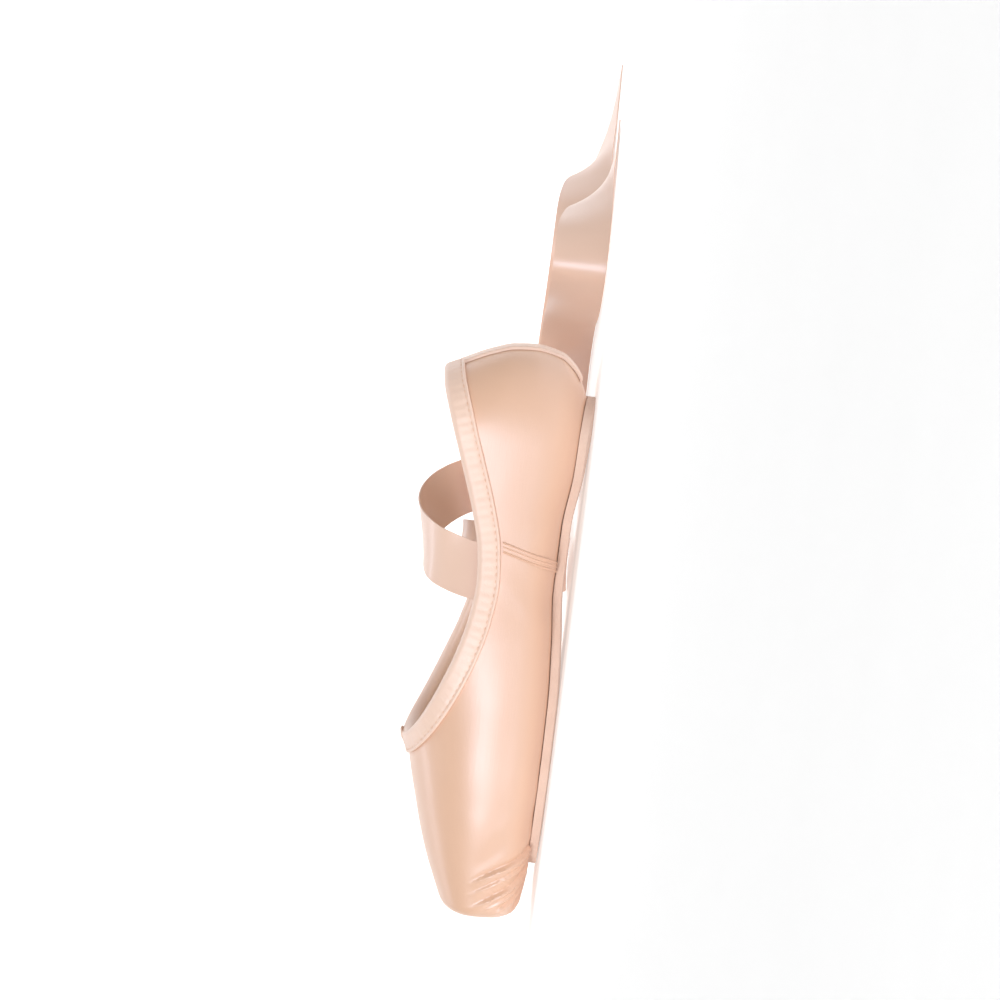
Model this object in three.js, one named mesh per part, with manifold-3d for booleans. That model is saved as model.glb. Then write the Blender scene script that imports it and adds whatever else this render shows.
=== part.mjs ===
import * as THREE from 'three';
import Module from 'manifold-3d';

// Sizes of the shoe in millimetres
const shoeLength = 226;
const ballWidth = 81;
const throatHeight = 58;
const heelHeight = 60;
const boxWall = 3.4;
const toeWall = 5;
const soleThickness = 3.2;
const archRise = 4;
const faceLean = 3;
const edgeRadius = 5;
const bindingWidth = 7.5;
const bindingInside = 5;
const bindingThickness = 1;
const stripWidth = 11;
const stripThickness = 0.8;
const stripBelow = 2.7;
const seamWidth = 4.6;
const seamThickness = 0.5;
const insoleThickness = 1.6;
const ribbonWidth = 22;
const ribbonThickness = 0.8;
const gap = 0.3;
const insideGap = 0.7;
const flatSink = 0.3;
const halfLength = shoeLength / 2;
const halfBall = ballWidth / 2;
const middleBack = halfLength + (gap + stripThickness) / 2 + 0.2;

// The last along its length
// at is a share of the shoe length, width of the ball width, top and widest of the throat height,
// lift of the arch rise, wall of the box wall
const lastRows = [
  { at: 0.00, width: 0.69, top: 0.61, widest: 0.31, lift: 0.65, wall: 1.00, over: 2.8, under: 3.0 },
  { at: 0.04, width: 0.74, top: 0.68, widest: 0.31, lift: 0.45, wall: 1.00, over: 2.7, under: 3.1 },
  { at: 0.10, width: 0.82, top: 0.78, widest: 0.31, lift: 0.20, wall: 1.00, over: 2.5, under: 3.4 },
  { at: 0.20, width: 0.94, top: 0.90, widest: 0.31, lift: 0.02, wall: 1.00, over: 2.4, under: 3.8 },
  { at: 0.30, width: 1.00, top: 1.00, widest: 0.32, lift: 0.00, wall: 0.95, over: 2.3, under: 4.0 },
  { at: 0.40, width: 0.98, top: 1.11, widest: 0.33, lift: 0.05, wall: 0.65, over: 2.2, under: 3.9 },
  { at: 0.50, width: 0.92, top: 1.21, widest: 0.34, lift: 0.45, wall: 0.55, over: 2.2, under: 3.5 },
  { at: 0.60, width: 0.83, top: 1.30, widest: 0.36, lift: 0.95, wall: 0.55, over: 2.1, under: 3.1 },
  { at: 0.70, width: 0.76, top: 1.38, widest: 0.38, lift: 0.90, wall: 0.55, over: 2.1, under: 3.1 },
  { at: 0.80, width: 0.71, top: 1.46, widest: 0.40, lift: 0.25, wall: 0.55, over: 2.1, under: 3.4 },
  { at: 0.90, width: 0.69, top: 1.55, widest: 0.43, lift: 0.00, wall: 0.62, over: 2.1, under: 3.6 },
  { at: 1.00, width: 0.69, top: 1.62, widest: 0.44, lift: 0.00, wall: 0.62, over: 2.1, under: 3.6 },
];

// The heel seen from the side
// high is a share of the heel height, back of the shoe length
const heelRows = [
  { high: 0.00, back: 0.900 },
  { high: 0.06, back: 0.925 },
  { high: 0.10, back: 0.948 },
  { high: 0.16, back: 0.972 },
  { high: 0.26, back: 0.992 },
  { high: 0.42, back: 1.000 },
  { high: 0.56, back: 0.997 },
  { high: 0.70, back: 0.985 },
  { high: 0.85, back: 0.966 },
  { high: 1.00, back: 0.943 },
  { high: 1.40, back: 0.900 },
];
const heelStart = 0.84 * shoeLength;
const heelPower = 2.15;

// The collar seen from the side
// at is a share of the shoe length, high of the throat height
const collarRows = [
  { at: 0.20, high: 1.220 },
  { at: 0.25, high: 1.110 },
  { at: 0.297, high: 1.000 },
  { at: 0.35, high: 0.895 },
  { at: 0.42, high: 0.785 },
  { at: 0.48, high: 0.705 },
  { at: 0.54, high: 0.650 },
  { at: 0.60, high: 0.625 },
  { at: 0.66, high: 0.645 },
  { at: 0.72, high: 0.705 },
  { at: 0.80, high: 0.815 },
  { at: 0.88, high: 0.930 },
  { at: 0.94, high: 1.010 },
  { at: 1.00, high: 1.050 },
];

// Half width of the sole as a share of half the ball width
const soleRows = [
  { at: 0.08, half: 0.47 },
  { at: 0.14, half: 0.56 },
  { at: 0.20, half: 0.65 },
  { at: 0.30, half: 0.71 },
  { at: 0.40, half: 0.68 },
  { at: 0.50, half: 0.56 },
  { at: 0.60, half: 0.43 },
  { at: 0.68, half: 0.39 },
  { at: 0.78, half: 0.43 },
  { at: 0.88, half: 0.48 },
  { at: 0.95, half: 0.48 },
];
const soleFront = 0.092 * shoeLength;
const soleBack = 0.925 * shoeLength;
const soleTipRound = 0.075 * shoeLength;
const soleHeelRound = 0.085 * shoeLength;
const marginWidth = 7;

// Way of each ribbon, from its sewn end inside the collar to its free end on the floor
// along is a share of the shoe length, across of the ball width, high of the throat height,
// and the last three give the direction of the ribbon's width
const nearRibbonRows = [
  { along: 0.122, across: -0.280, high: 0.790, wx: 1.00, wy: 0.12, wz: 0.00 },
  { along: 0.135, across: -0.200, high: 0.960, wx: 0.99, wy: 0.05, wz: 0.10 },
  { along: 0.160, across: 0.000, high: 1.060, wx: 0.97, wy: 0.00, wz: 0.22 },
  { along: 0.192, across: 0.240, high: 0.990, wx: 0.95, wy: 0.00, wz: 0.33 },
  { along: 0.216, across: 0.415, high: 0.815, wx: 0.95, wy: -0.10, wz: 0.33 },
  { along: 0.232, across: 0.540, high: 0.560, wx: 0.98, wy: -0.15, wz: 0.15 },
  { along: 0.245, across: 0.640, high: 0.220, wx: 0.99, wy: -0.10, wz: 0.00 },
  { along: 0.252, across: 0.790, high: 0.000, wx: 1.00, wy: -0.05, wz: 0.00 },
  { along: 0.262, across: 1.040, high: 0.000, wx: 0.80, wy: -0.10, wz: 0.50 },
  { along: 0.282, across: 1.370, high: 0.000, wx: 0.20, wy: -0.05, wz: 0.95 },
  { along: 0.325, across: 1.680, high: 0.000, wx: 0.05, wy: -0.10, wz: 0.98 },
  { along: 0.395, across: 1.800, high: 0.000, wx: 0.00, wy: -0.15, wz: 0.98 },
  { along: 0.462, across: 1.640, high: 0.000, wx: 0.00, wy: -0.10, wz: 0.98 },
  { along: 0.500, across: 1.340, high: 0.000, wx: 0.12, wy: 0.00, wz: 0.98 },
  { along: 0.540, across: 1.050, high: 0.000, wx: 0.12, wy: 0.05, wz: 0.98 },
  { along: 0.605, across: 0.880, high: 0.000, wx: 0.00, wy: 0.15, wz: 0.98 },
  { along: 0.672, across: 1.000, high: 0.000, wx: -0.15, wy: 0.12, wz: 0.96 },
  { along: 0.715, across: 1.280, high: 0.000, wx: -0.50, wy: 0.10, wz: 0.80 },
  { along: 0.755, across: 1.560, high: 0.000, wx: -0.95, wy: 0.20, wz: 0.20 },
  { along: 0.810, across: 1.820, high: 0.000, wx: -0.95, wy: 0.30, wz: 0.00 },
];
const farRibbonRows = [
  { along: 0.113, across: 0.355, high: 0.715, wx: 1.00, wy: -0.10, wz: 0.00 },
  { along: 0.108, across: 0.415, high: 0.780, wx: 1.00, wy: -0.10, wz: 0.00 },
  { along: 0.102, across: 0.475, high: 0.710, wx: 1.00, wy: -0.10, wz: 0.00 },
  { along: 0.092, across: 0.525, high: 0.480, wx: 1.00, wy: -0.05, wz: 0.00 },
  { along: 0.083, across: 0.590, high: 0.200, wx: 1.00, wy: 0.00, wz: 0.00 },
  { along: 0.076, across: 0.730, high: 0.000, wx: 1.00, wy: 0.00, wz: 0.00 },
  { along: 0.072, across: 1.020, high: 0.000, wx: 0.80, wy: -0.10, wz: 0.50 },
  { along: 0.082, across: 1.420, high: 0.000, wx: 0.20, wy: -0.05, wz: 0.95 },
  { along: 0.115, across: 1.840, high: 0.000, wx: 0.05, wy: -0.10, wz: 0.98 },
  { along: 0.180, across: 2.190, high: 0.000, wx: 0.00, wy: -0.15, wz: 0.98 },
  { along: 0.270, across: 2.400, high: 0.000, wx: 0.00, wy: -0.10, wz: 0.98 },
  { along: 0.360, across: 2.400, high: 0.000, wx: 0.00, wy: 0.00, wz: 0.98 },
  { along: 0.440, across: 2.220, high: 0.000, wx: 0.05, wy: 0.10, wz: 0.98 },
  { along: 0.515, across: 1.990, high: 0.000, wx: 0.05, wy: 0.12, wz: 0.98 },
  { along: 0.595, across: 1.880, high: 0.000, wx: 0.00, wy: 0.15, wz: 0.98 },
  { along: 0.670, across: 2.000, high: 0.000, wx: -0.15, wy: 0.15, wz: 0.96 },
  { along: 0.722, across: 2.260, high: 0.000, wx: -0.40, wy: 0.20, wz: 0.85 },
  { along: 0.772, across: 2.530, high: 0.000, wx: -0.80, wy: 0.40, wz: 0.30 },
  { along: 0.880, across: 2.960, high: 0.000, wx: -0.80, wy: 0.60, wz: 0.00 },
];
const ribbonAt = 0.615;
const seamTop = 0.669 * shoeLength;
const seamLean = 0.035 * shoeLength;
const ribbonSteps = 64;

const wasm = await Module();
wasm.setup();

function clamp(value, low, high) {
  return Math.min(high, Math.max(low, value));
}

// Smooth reading of a table between its rows without overshoot
function slopes(rows, key, name) {
  const steps = [];
  for (let i = 0; i + 1 < rows.length; i += 1) {
    steps.push((rows[i + 1][name] - rows[i][name]) / (rows[i + 1][key] - rows[i][key]));
  }
  const result = [steps[0]];
  for (let i = 1; i < steps.length; i += 1) {
    const same = steps[i - 1] * steps[i] > 0;
    result.push(same ? 2 * steps[i - 1] * steps[i] / (steps[i - 1] + steps[i]) : 0);
  }
  result.push(steps[steps.length - 1]);
  return result;
}
const slopeStore = new Map();
function read(rows, key, name, at) {
  if (!slopeStore.has(rows)) {
    slopeStore.set(rows, {});
  }
  const store = slopeStore.get(rows);
  if (!store[name]) {
    store[name] = slopes(rows, key, name);
  }
  const where = clamp(at, rows[0][key], rows[rows.length - 1][key]);
  let i = 0;
  while (i + 2 < rows.length && where > rows[i + 1][key]) {
    i += 1;
  }
  const span = rows[i + 1][key] - rows[i][key];
  const t = (where - rows[i][key]) / span;
  const rise = rows[i + 1][name] - rows[i][name];
  const first = store[name][i] * span;
  const last = store[name][i + 1] * span;
  const cubic = first + last - 2 * rise;
  const square = 3 * rise - 2 * first - last;
  return rows[i][name] + t * (first + t * (square + t * cubic));
}

// Height of the last's underside above the floor where the sole is flat
const underHeight = soleThickness + gap - flatSink;

function sectionAt(back) {
  const at = back / shoeLength;
  return {
    half: halfBall * read(lastRows, 'at', 'width', at),
    top: throatHeight * read(lastRows, 'at', 'top', at),
    widest: throatHeight * read(lastRows, 'at', 'widest', at),
    low: underHeight + archRise * read(lastRows, 'at', 'lift', at),
    over: read(lastRows, 'at', 'over', at),
    under: read(lastRows, 'at', 'under', at),
  };
}
function wallAt(back) {
  return boxWall * read(lastRows, 'at', 'wall', back / shoeLength);
}
function heelBack(high) {
  return shoeLength * read(heelRows, 'high', 'back', high / heelHeight);
}
function collarHigh(back) {
  return throatHeight * read(collarRows, 'at', 'high', back / shoeLength);
}

// The flat tip leans, its top edge furthest forward
function leanAt(depth, high) {
  const share = clamp(1 - high / (throatHeight * lastRows[0].top), 0, 1);
  const fade = clamp(1 - depth / (shoeLength * 0.3), 0, 1);
  return faceLean * share * fade * fade;
}

// Above zero inside the last, shrunk by the wall where inner is true
function insideLast(depth, across, high, inner) {
  const section = sectionAt(depth);
  const wall = inner ? wallAt(depth) : 0;
  const round = inner ? edgeRadius * 0.6 : edgeRadius;
  const behind = depth - (inner ? toeWall : 0);
  if (behind < 0) {
    return -1;
  }
  const short = Math.max(0, round - behind);
  const edge = wall + round - Math.sqrt(round * round - short * short);
  const above = high > section.widest;
  const reach = (above ? section.top - section.widest : section.widest - section.low) - edge;
  const power = above ? section.over : section.under;
  const upward = Math.abs(high - section.widest) / reach;
  const end = heelBack(high) - wall;
  const toward = clamp((depth - heelStart) / (end - heelStart), 0, 1);
  const closing = Math.pow(1 - Math.pow(toward, heelPower), power / heelPower);
  const rising = 1 - Math.pow(upward, power);
  if (rising <= 0) {
    return rising - 0.001;
  }
  return rising * closing - Math.pow(Math.abs(across) / (section.half - edge), power);
}
function insideAt(point, inner) {
  const depth = point.x - leanAt(point.x, point.z);
  return insideLast(depth, point.y, point.z, inner);
}

// Distance from an inside point to the last's surface along a direction
function castFrom(start, direction, inner, limit) {
  let near = 0;
  let far = limit;
  for (let i = 0; i < 34; i += 1) {
    const middle = (near + far) / 2;
    const point = start.clone().addScaledVector(direction, middle);
    if (insideAt(point, inner) > 0) {
      near = middle;
    } else {
      far = middle;
    }
  }
  return near;
}
function outwardAt(point) {
  const step = 0.05;
  const slope = new THREE.Vector3();
  for (const axis of ['x', 'y', 'z']) {
    const ahead = point.clone();
    const behind = point.clone();
    ahead[axis] += step;
    behind[axis] -= step;
    slope[axis] = insideAt(behind, false) - insideAt(ahead, false);
  }
  return slope.normalize();
}
// Nearest surface point along a given outward direction
function seatOn(point, outward, inner) {
  const start = point.clone().addScaledVector(outward, -12);
  return start.addScaledVector(outward, castFrom(start, outward, inner, 24));
}

// Mesh building
function solidFrom(points, faces) {
  const flat = new Float32Array(points.length * 3);
  points.forEach((point, i) => flat.set([point.x, point.y, point.z], i * 3));
  const mesh = new wasm.Mesh({
    numProp: 3,
    vertProperties: flat,
    triVerts: new Uint32Array(faces.flat()),
  });
  mesh.merge();
  const solid = new wasm.Manifold(mesh);
  if (solid.volume() < 0) {
    const turned = faces.map((face) => [face[0], face[2], face[1]]);
    return solidFrom(points, turned);
  }
  return solid;
}
function meshFrom(name, solid, colour, roughness) {
  const data = solid.translate([-middleBack, 0, 0]).getMesh();
  const positions = new Float32Array(data.numVert * 3);
  for (let i = 0; i < data.numVert; i += 1) {
    for (let k = 0; k < 3; k += 1) {
      positions[i * 3 + k] = data.vertProperties[i * data.numProp + k];
    }
  }
  const geometry = new THREE.BufferGeometry();
  geometry.setAttribute('position', new THREE.BufferAttribute(positions, 3));
  geometry.setIndex(Array.from(data.triVerts));
  geometry.computeVertexNormals();
  const material = new THREE.MeshStandardMaterial({ color: colour, roughness, metalness: 0 });
  const mesh = new THREE.Mesh(geometry, material);
  mesh.name = name;
  return mesh;
}
function addStrip(faces, first, second, count, closed) {
  const end = closed ? count : count - 1;
  for (let k = 0; k < end; k += 1) {
    const next = (k + 1) % count;
    faces.push([first + k, second + k, second + next]);
    faces.push([first + k, second + next, first + next]);
  }
}
function addFan(faces, tip, ring, count, turned) {
  for (let k = 0; k < count; k += 1) {
    const next = (k + 1) % count;
    faces.push(turned ? [tip, ring + k, ring + next] : [tip, ring + next, ring + k]);
  }
}

// The closed last, or the hollow inside it
function lastSolid(inner, around, along) {
  const wallBack = inner ? wallAt(shoeLength) : 0;
  const start = inner ? toeWall : 0;
  const round = inner ? edgeRadius * 0.6 : edgeRadius;
  const end = shoeLength - wallBack;
  const depths = [];
  for (const turn of [0, 25, 50, 75]) {
    depths.push(start + round * (1 - Math.cos(turn * Math.PI / 180)));
  }
  for (let i = 0; i <= along; i += 1) {
    depths.push(start + round + (heelStart - start - round) * i / along);
  }
  const closing = Math.round(along / 2.6);
  for (let i = 1; i < closing; i += 1) {
    const turn = i / closing * Math.PI / 2;
    depths.push(heelStart + (end - heelStart) * Math.sin(turn));
  }
  const points = [];
  const faces = [];
  const centreHigh = (depth) => sectionAt(depth).widest;
  for (const depth of depths) {
    const high = centreHigh(depth);
    for (let k = 0; k < around; k += 1) {
      const turn = k / around * Math.PI * 2;
      const cosine = Math.cos(turn);
      const sine = Math.sin(turn);
      let near = 0;
      let far = 140;
      for (let i = 0; i < 36; i += 1) {
        const middle = (near + far) / 2;
        const value = insideLast(depth, middle * cosine, high + middle * sine, inner);
        if (value > 0) {
          near = middle;
        } else {
          far = middle;
        }
      }
      const z = high + near * sine;
      let back = depth;
      for (let i = 0; i < 4; i += 1) {
        back = depth + leanAt(back, z);
      }
      points.push(new THREE.Vector3(back, near * cosine, z));
    }
  }
  const rings = depths.length;
  for (let i = 0; i + 1 < rings; i += 1) {
    addStrip(faces, i * around, (i + 1) * around, around, true);
  }
  const frontHigh = centreHigh(start);
  points.push(new THREE.Vector3(start + leanAt(start, frontHigh), 0, frontHigh));
  addFan(faces, points.length - 1, 0, around, true);
  points.push(new THREE.Vector3(end, 0, centreHigh(end)));
  addFan(faces, points.length - 1, (rings - 1) * around, around, false);
  return solidFrom(points, faces);
}

// The line where the collar's edge meets the outside of the last
function collarPoint(turn) {
  const middle = shoeLength * 0.6;
  let near = 0;
  let far = shoeLength;
  for (let i = 0; i < 40; i += 1) {
    const reach = (near + far) / 2;
    const x = middle + reach * Math.cos(turn);
    const y = reach * Math.sin(turn);
    const point = new THREE.Vector3(x, y, collarHigh(x));
    if (insideAt(point, false) > 0) {
      near = reach;
    } else {
      far = reach;
    }
  }
  const x = middle + near * Math.cos(turn);
  return new THREE.Vector3(x, near * Math.sin(turn), collarHigh(x));
}
function collarLine(count) {
  const fine = [];
  for (let i = 0; i < 720; i += 1) {
    fine.push(collarPoint(i / 720 * Math.PI * 2));
  }
  const lengths = [0];
  for (let i = 1; i <= fine.length; i += 1) {
    lengths.push(lengths[i - 1] + fine[i - 1].distanceTo(fine[i % fine.length]));
  }
  const total = lengths[lengths.length - 1];
  const line = [];
  let at = 0;
  for (let k = 0; k < count; k += 1) {
    const want = total * k / count;
    while (lengths[at + 1] < want) {
      at += 1;
    }
    const share = (want - lengths[at]) / (lengths[at + 1] - lengths[at]);
    line.push(fine[at].clone().lerp(fine[(at + 1) % fine.length], share));
  }
  return line.map((point, k) => {
    const ahead = line[(k + 1) % count];
    const behind = line[(k + count - 1) % count];
    const along = ahead.clone().sub(behind).normalize();
    const outward = outwardAt(point);
    const down = along.clone().cross(outward).normalize();
    return { point, along, outward, down };
  });
}

// Everything above the collar's edge, cut square to the wall
function collarCutter(line) {
  const count = line.length;
  const points = [];
  const faces = [];
  for (const spot of line) {
    const outer = spot.point.clone().addScaledVector(spot.outward, 3);
    points.push(new THREE.Vector3(outer.x, outer.y, 190));
  }
  for (const spot of line) {
    points.push(spot.point.clone().addScaledVector(spot.outward, 3));
  }
  for (const spot of line) {
    points.push(spot.point.clone().addScaledVector(spot.outward, -6));
  }
  addStrip(faces, 0, count, count, true);
  addStrip(faces, count, 2 * count, count, true);
  points.push(new THREE.Vector3(shoeLength * 0.62, 0, 190));
  addFan(faces, points.length - 1, 0, count, true);
  points.push(new THREE.Vector3(shoeLength * 0.62, 0, throatHeight * 0.66));
  addFan(faces, points.length - 1, 2 * count, count, false);
  return solidFrom(points, faces);
}

// Outline of the sole, drawn in by a margin
function soleHalf(back, margin) {
  const front = soleFront + margin;
  const end = soleBack - margin;
  const fromTip = clamp((back - front) / soleTipRound, 0, 1);
  const fromHeel = clamp((end - back) / soleHeelRound, 0, 1);
  const tip = Math.pow(1 - Math.pow(1 - fromTip, 2.2), 1 / 2.2);
  const heel = Math.pow(1 - Math.pow(1 - fromHeel, 2.2), 1 / 2.2);
  return (halfBall * read(soleRows, 'at', 'half', back / shoeLength) - margin) * tip * heel;
}
function underside(back, across, inner) {
  const high = sectionAt(back).widest;
  const start = new THREE.Vector3(back, across, high);
  return high - castFrom(start, new THREE.Vector3(0, 0, -1), inner, 40);
}

// A plate along the sole with its own outline, top and bottom
function plateSolid(margin, along, across, topOf, bottomOf) {
  const front = soleFront + margin;
  const end = soleBack - margin;
  const points = [];
  const faces = [];
  const columns = across + 1;
  const addPoint = (x, y, high) => {
    points.push(new THREE.Vector3(x, y, high));
    return points.length - 1;
  };
  const levels = [topOf, bottomOf].map((heightOf) => {
    const grid = [];
    for (let i = 0; i <= along; i += 1) {
      const share = (1 - Math.cos(i / along * Math.PI)) / 2;
      const back = front + (end - front) * (0.35 * i / along + 0.65 * share);
      if (i === 0 || i === along) {
        const only = addPoint(back, 0, heightOf(back, 0));
        grid.push(new Array(columns).fill(only));
        continue;
      }
      const half = soleHalf(back, margin);
      const row = [];
      for (let k = 0; k < columns; k += 1) {
        const side = half * Math.sin((k / across - 0.5) * Math.PI);
        row.push(addPoint(back, side, heightOf(back, side)));
      }
      grid.push(row);
    }
    return grid;
  });
  const addFace = (a, b, c) => {
    if (a !== b && b !== c && a !== c) {
      faces.push([a, b, c]);
    }
  };
  levels.forEach((grid, level) => {
    for (let i = 0; i < along; i += 1) {
      for (let k = 0; k < across; k += 1) {
        const a = grid[i][k];
        const b = grid[i + 1][k];
        const c = grid[i + 1][k + 1];
        const d = grid[i][k + 1];
        if (level === 0) {
          addFace(a, b, c);
          addFace(a, c, d);
        } else {
          addFace(a, c, b);
          addFace(a, d, c);
        }
      }
    }
  });
  const [top, bottom] = levels;
  for (let i = 0; i < along; i += 1) {
    addFace(top[i][0], bottom[i][0], bottom[i + 1][0]);
    addFace(top[i][0], bottom[i + 1][0], top[i + 1][0]);
    addFace(top[i][across], bottom[i + 1][across], bottom[i][across]);
    addFace(top[i][across], top[i + 1][across], bottom[i + 1][across]);
  }
  return solidFrom(points, faces);
}

// A thin overlay seated on the outside of the last, from rows of surface points
function overlaySolid(grid, clearance, thickness) {
  const rows = grid.length;
  const columns = grid[0].length;
  const points = [];
  const faces = [];
  for (const reach of [clearance + thickness, clearance]) {
    for (const row of grid) {
      for (const spot of row) {
        points.push(spot.clone().addScaledVector(outwardAt(spot), reach));
      }
    }
  }
  const half = rows * columns;
  for (let i = 0; i + 1 < rows; i += 1) {
    for (let k = 0; k + 1 < columns; k += 1) {
      const a = i * columns + k;
      const b = a + columns;
      faces.push([a, b, b + 1], [a, b + 1, a + 1]);
      faces.push([half + a, half + b + 1, half + b], [half + a, half + a + 1, half + b + 1]);
    }
  }
  const edge = [];
  for (let k = 0; k + 1 < columns; k += 1) edge.push(k);
  for (let i = 0; i + 1 < rows; i += 1) edge.push(i * columns + columns - 1);
  for (let k = columns - 1; k > 0; k -= 1) edge.push((rows - 1) * columns + k);
  for (let i = rows - 1; i > 0; i -= 1) edge.push(i * columns);
  for (let k = 0; k < edge.length; k += 1) {
    const here = edge[k];
    const next = edge[(k + 1) % edge.length];
    faces.push([here, next, half + next], [here, half + next, half + here]);
  }
  return solidFrom(points, faces);
}

// Collar casing folded over the edge, with an outer and an inner leg
function bindingSolid(line) {
  const count = line.length;
  const outerLegs = [1, 0.55, 0.06];
  const points = [];
  const faces = [];
  let size = 0;
  for (const spot of line) {
    const ring = [];
    const outer = [];
    const inner = [];
    for (const share of outerLegs) {
      const guess = spot.point.clone().addScaledVector(spot.down, share * bindingWidth);
      const seat = seatOn(guess, spot.outward, false);
      outer.push({ seat, outward: outwardAt(seat) });
    }
    for (const share of [0.06, 1]) {
      const guess = spot.point.clone().addScaledVector(spot.down, share * bindingInside);
      const seat = seatOn(guess, spot.outward, false);
      const outward = outwardAt(seat);
      inner.push({ seat: seatOn(seat, outward, true), outward });
    }
    const wall = inner[0].seat.distanceTo(outer[2].seat);
    const up = spot.down.clone().negate();
    const away = spot.outward;
    const place = (base, out, reach) => base.clone().addScaledVector(out, reach);
    outer.forEach((leg) => ring.push(place(leg.seat, leg.outward, gap + bindingThickness)));
    ring.push(place(spot.point, up, gap + 1.1).addScaledVector(away, gap + 0.35));
    ring.push(place(spot.point, up, gap + 1.25).addScaledVector(away, -wall - insideGap));
    inner.forEach((leg) => ring.push(place(leg.seat, leg.outward, -insideGap - bindingThickness)));
    inner.slice().reverse().forEach((leg) => ring.push(place(leg.seat, leg.outward, -insideGap)));
    ring.push(place(spot.point, up, gap).addScaledVector(away, -wall - insideGap));
    ring.push(place(spot.point, up, gap).addScaledVector(away, gap));
    outer.slice().reverse().forEach((leg) => ring.push(place(leg.seat, leg.outward, gap)));
    size = ring.length;
    points.push(...ring);
  }
  for (let i = 0; i < count; i += 1) {
    addStrip(faces, i * size, ((i + 1) % count) * size, size, true);
  }
  return solidFrom(points, faces);
}

// A flat ribbon along a smooth way
function ribbonSolid(rows, side) {
  const sewnBack = ribbonAt * shoeLength;
  const spots = [];
  for (const sewn of [{ high: 0.26, inset: 1.4 }, { high: 0.42, inset: 1.5 }, { high: 0.57, inset: 3.2 }]) {
    const start = new THREE.Vector3(sewnBack, 0, sewn.high * throatHeight);
    const reach = castFrom(start, new THREE.Vector3(0, side, 0), true, 80);
    const place = new THREE.Vector3(sewnBack - halfLength, side * (reach - sewn.inset), start.z);
    spots.push({ place, wide: new THREE.Vector3(1, -side * 0.13, 0) });
  }
  for (const row of rows) {
    const place = new THREE.Vector3(
      row.along * shoeLength,
      row.across * ballWidth,
      row.high * throatHeight,
    );
    spots.push({ place, wide: new THREE.Vector3(row.wx, row.wy, row.wz) });
  }
  const way = new THREE.CatmullRomCurve3(spots.map((spot) => spot.place), false, 'centripetal');
  const wides = new THREE.CatmullRomCurve3(spots.map((spot) => spot.wide), false, 'catmullrom', 0.3);
  const fine = 900;
  const places = [];
  for (let i = 0; i <= fine; i += 1) {
    places.push(way.getPoint(i / fine));
  }
  const lengths = [0];
  for (let i = 1; i <= fine; i += 1) {
    lengths.push(lengths[i - 1] + places[i].distanceTo(places[i - 1]));
  }
  const total = lengths[fine];
  const points = [];
  const faces = [];
  let at = 0;
  let length = 0;
  let before = null;
  for (let k = 0; k <= ribbonSteps; k += 1) {
    const want = total * k / ribbonSteps;
    while (at + 1 < fine && lengths[at + 1] < want) {
      at += 1;
    }
    const share = at + clamp((want - lengths[at]) / (lengths[at + 1] - lengths[at]), 0, 1);
    const place = way.getPoint(share / fine);
    const tangent = way.getTangent(share / fine);
    const wide = wides.getPoint(share / fine);
    wide.addScaledVector(tangent, -wide.dot(tangent)).normalize();
    const thick = tangent.clone().cross(wide).normalize();
    const reach = ribbonWidth / 2 * Math.abs(wide.z) + ribbonThickness / 2 * Math.abs(thick.z);
    place.z = Math.max(place.z, reach + 0.1);
    if (before) {
      length += before.distanceTo(place);
    }
    before = place;
    for (const [across, through] of [[1, 1], [-1, 1], [-1, -1], [1, -1]]) {
      const corner = place.clone().addScaledVector(wide, across * ribbonWidth / 2);
      corner.addScaledVector(thick, through * ribbonThickness / 2);
      points.push(corner);
    }
  }
  for (let k = 0; k < ribbonSteps; k += 1) {
    const near = k * 4;
    const far = near + 4;
    faces.push([near, far, far + 1], [near, far + 1, near + 1]);
    faces.push([near + 1, far + 1, far + 2], [near + 1, far + 2, near + 2]);
    faces.push([near + 2, far + 2, near + 3], [near + 3, far + 2, far + 3]);
    faces.push([near + 3, far + 3, far], [near + 3, far, near]);
  }
  faces.push([0, 1, 2], [0, 2, 3]);
  const last = ribbonSteps * 4;
  faces.push([last, last + 2, last + 1], [last, last + 3, last + 2]);
  return { solid: solidFrom(points, faces).translate([halfLength, 0, 0]), length };
}

// Upper
const line = collarLine(62);
const openingTop = (back, across) => underside(back, across, true) + 3;
const opening = plateSolid(marginWidth, 22, 4, openingTop, () => -6);
const hollow = lastSolid(true, 36, 22);
const upper = lastSolid(false, 48, 29)
  .subtract(hollow)
  .subtract(collarCutter(line))
  .subtract(opening);

// Outsole, following the underside of the upper and flat where it meets the floor
const soleTop = (back, across) => underside(back, across, false) - gap;
const soleUnder = (back, across) => Math.max(0, soleTop(back, across) - soleThickness);
const outsole = plateSolid(0, 32, 8, soleTop, soleUnder);

// Insole, lying on the turned in margin and filling the opening under it
const insoleRest = (back, across) => underside(back, across, true) + gap;
const insoleTop = (back, across) => insoleRest(back, across) + insoleThickness;
const flange = plateSolid(3, 24, 6, insoleTop, insoleRest);
const plugTop = (back, across) => insoleRest(back, across) + insoleThickness * 0.5;
const plugUnder = (back, across) => underside(back, across, false) + 0.05;
const plug = plateSolid(marginWidth + gap * 2, 20, 4, plugTop, plugUnder);
const insole = flange.add(plug);

// Tape down the back of the heel
const backHigh = collarHigh(shoeLength) - bindingWidth - stripBelow;
const backLow = 0.115 * heelHeight;
const stripGrid = [];
for (let i = 0; i <= 12; i += 1) {
  const high = backHigh + (backLow - backHigh) * i / 12;
  const row = [];
  for (let k = 0; k <= 4; k += 1) {
    const across = stripWidth * (k / 4 - 0.5);
    const start = new THREE.Vector3(heelStart, across, high);
    const reach = castFrom(start, new THREE.Vector3(1, 0, 0), false, 60);
    row.push(new THREE.Vector3(heelStart + reach, across, high));
  }
  stripGrid.push(row);
}
const heelStrip = overlaySolid(stripGrid, gap, stripThickness);

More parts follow.
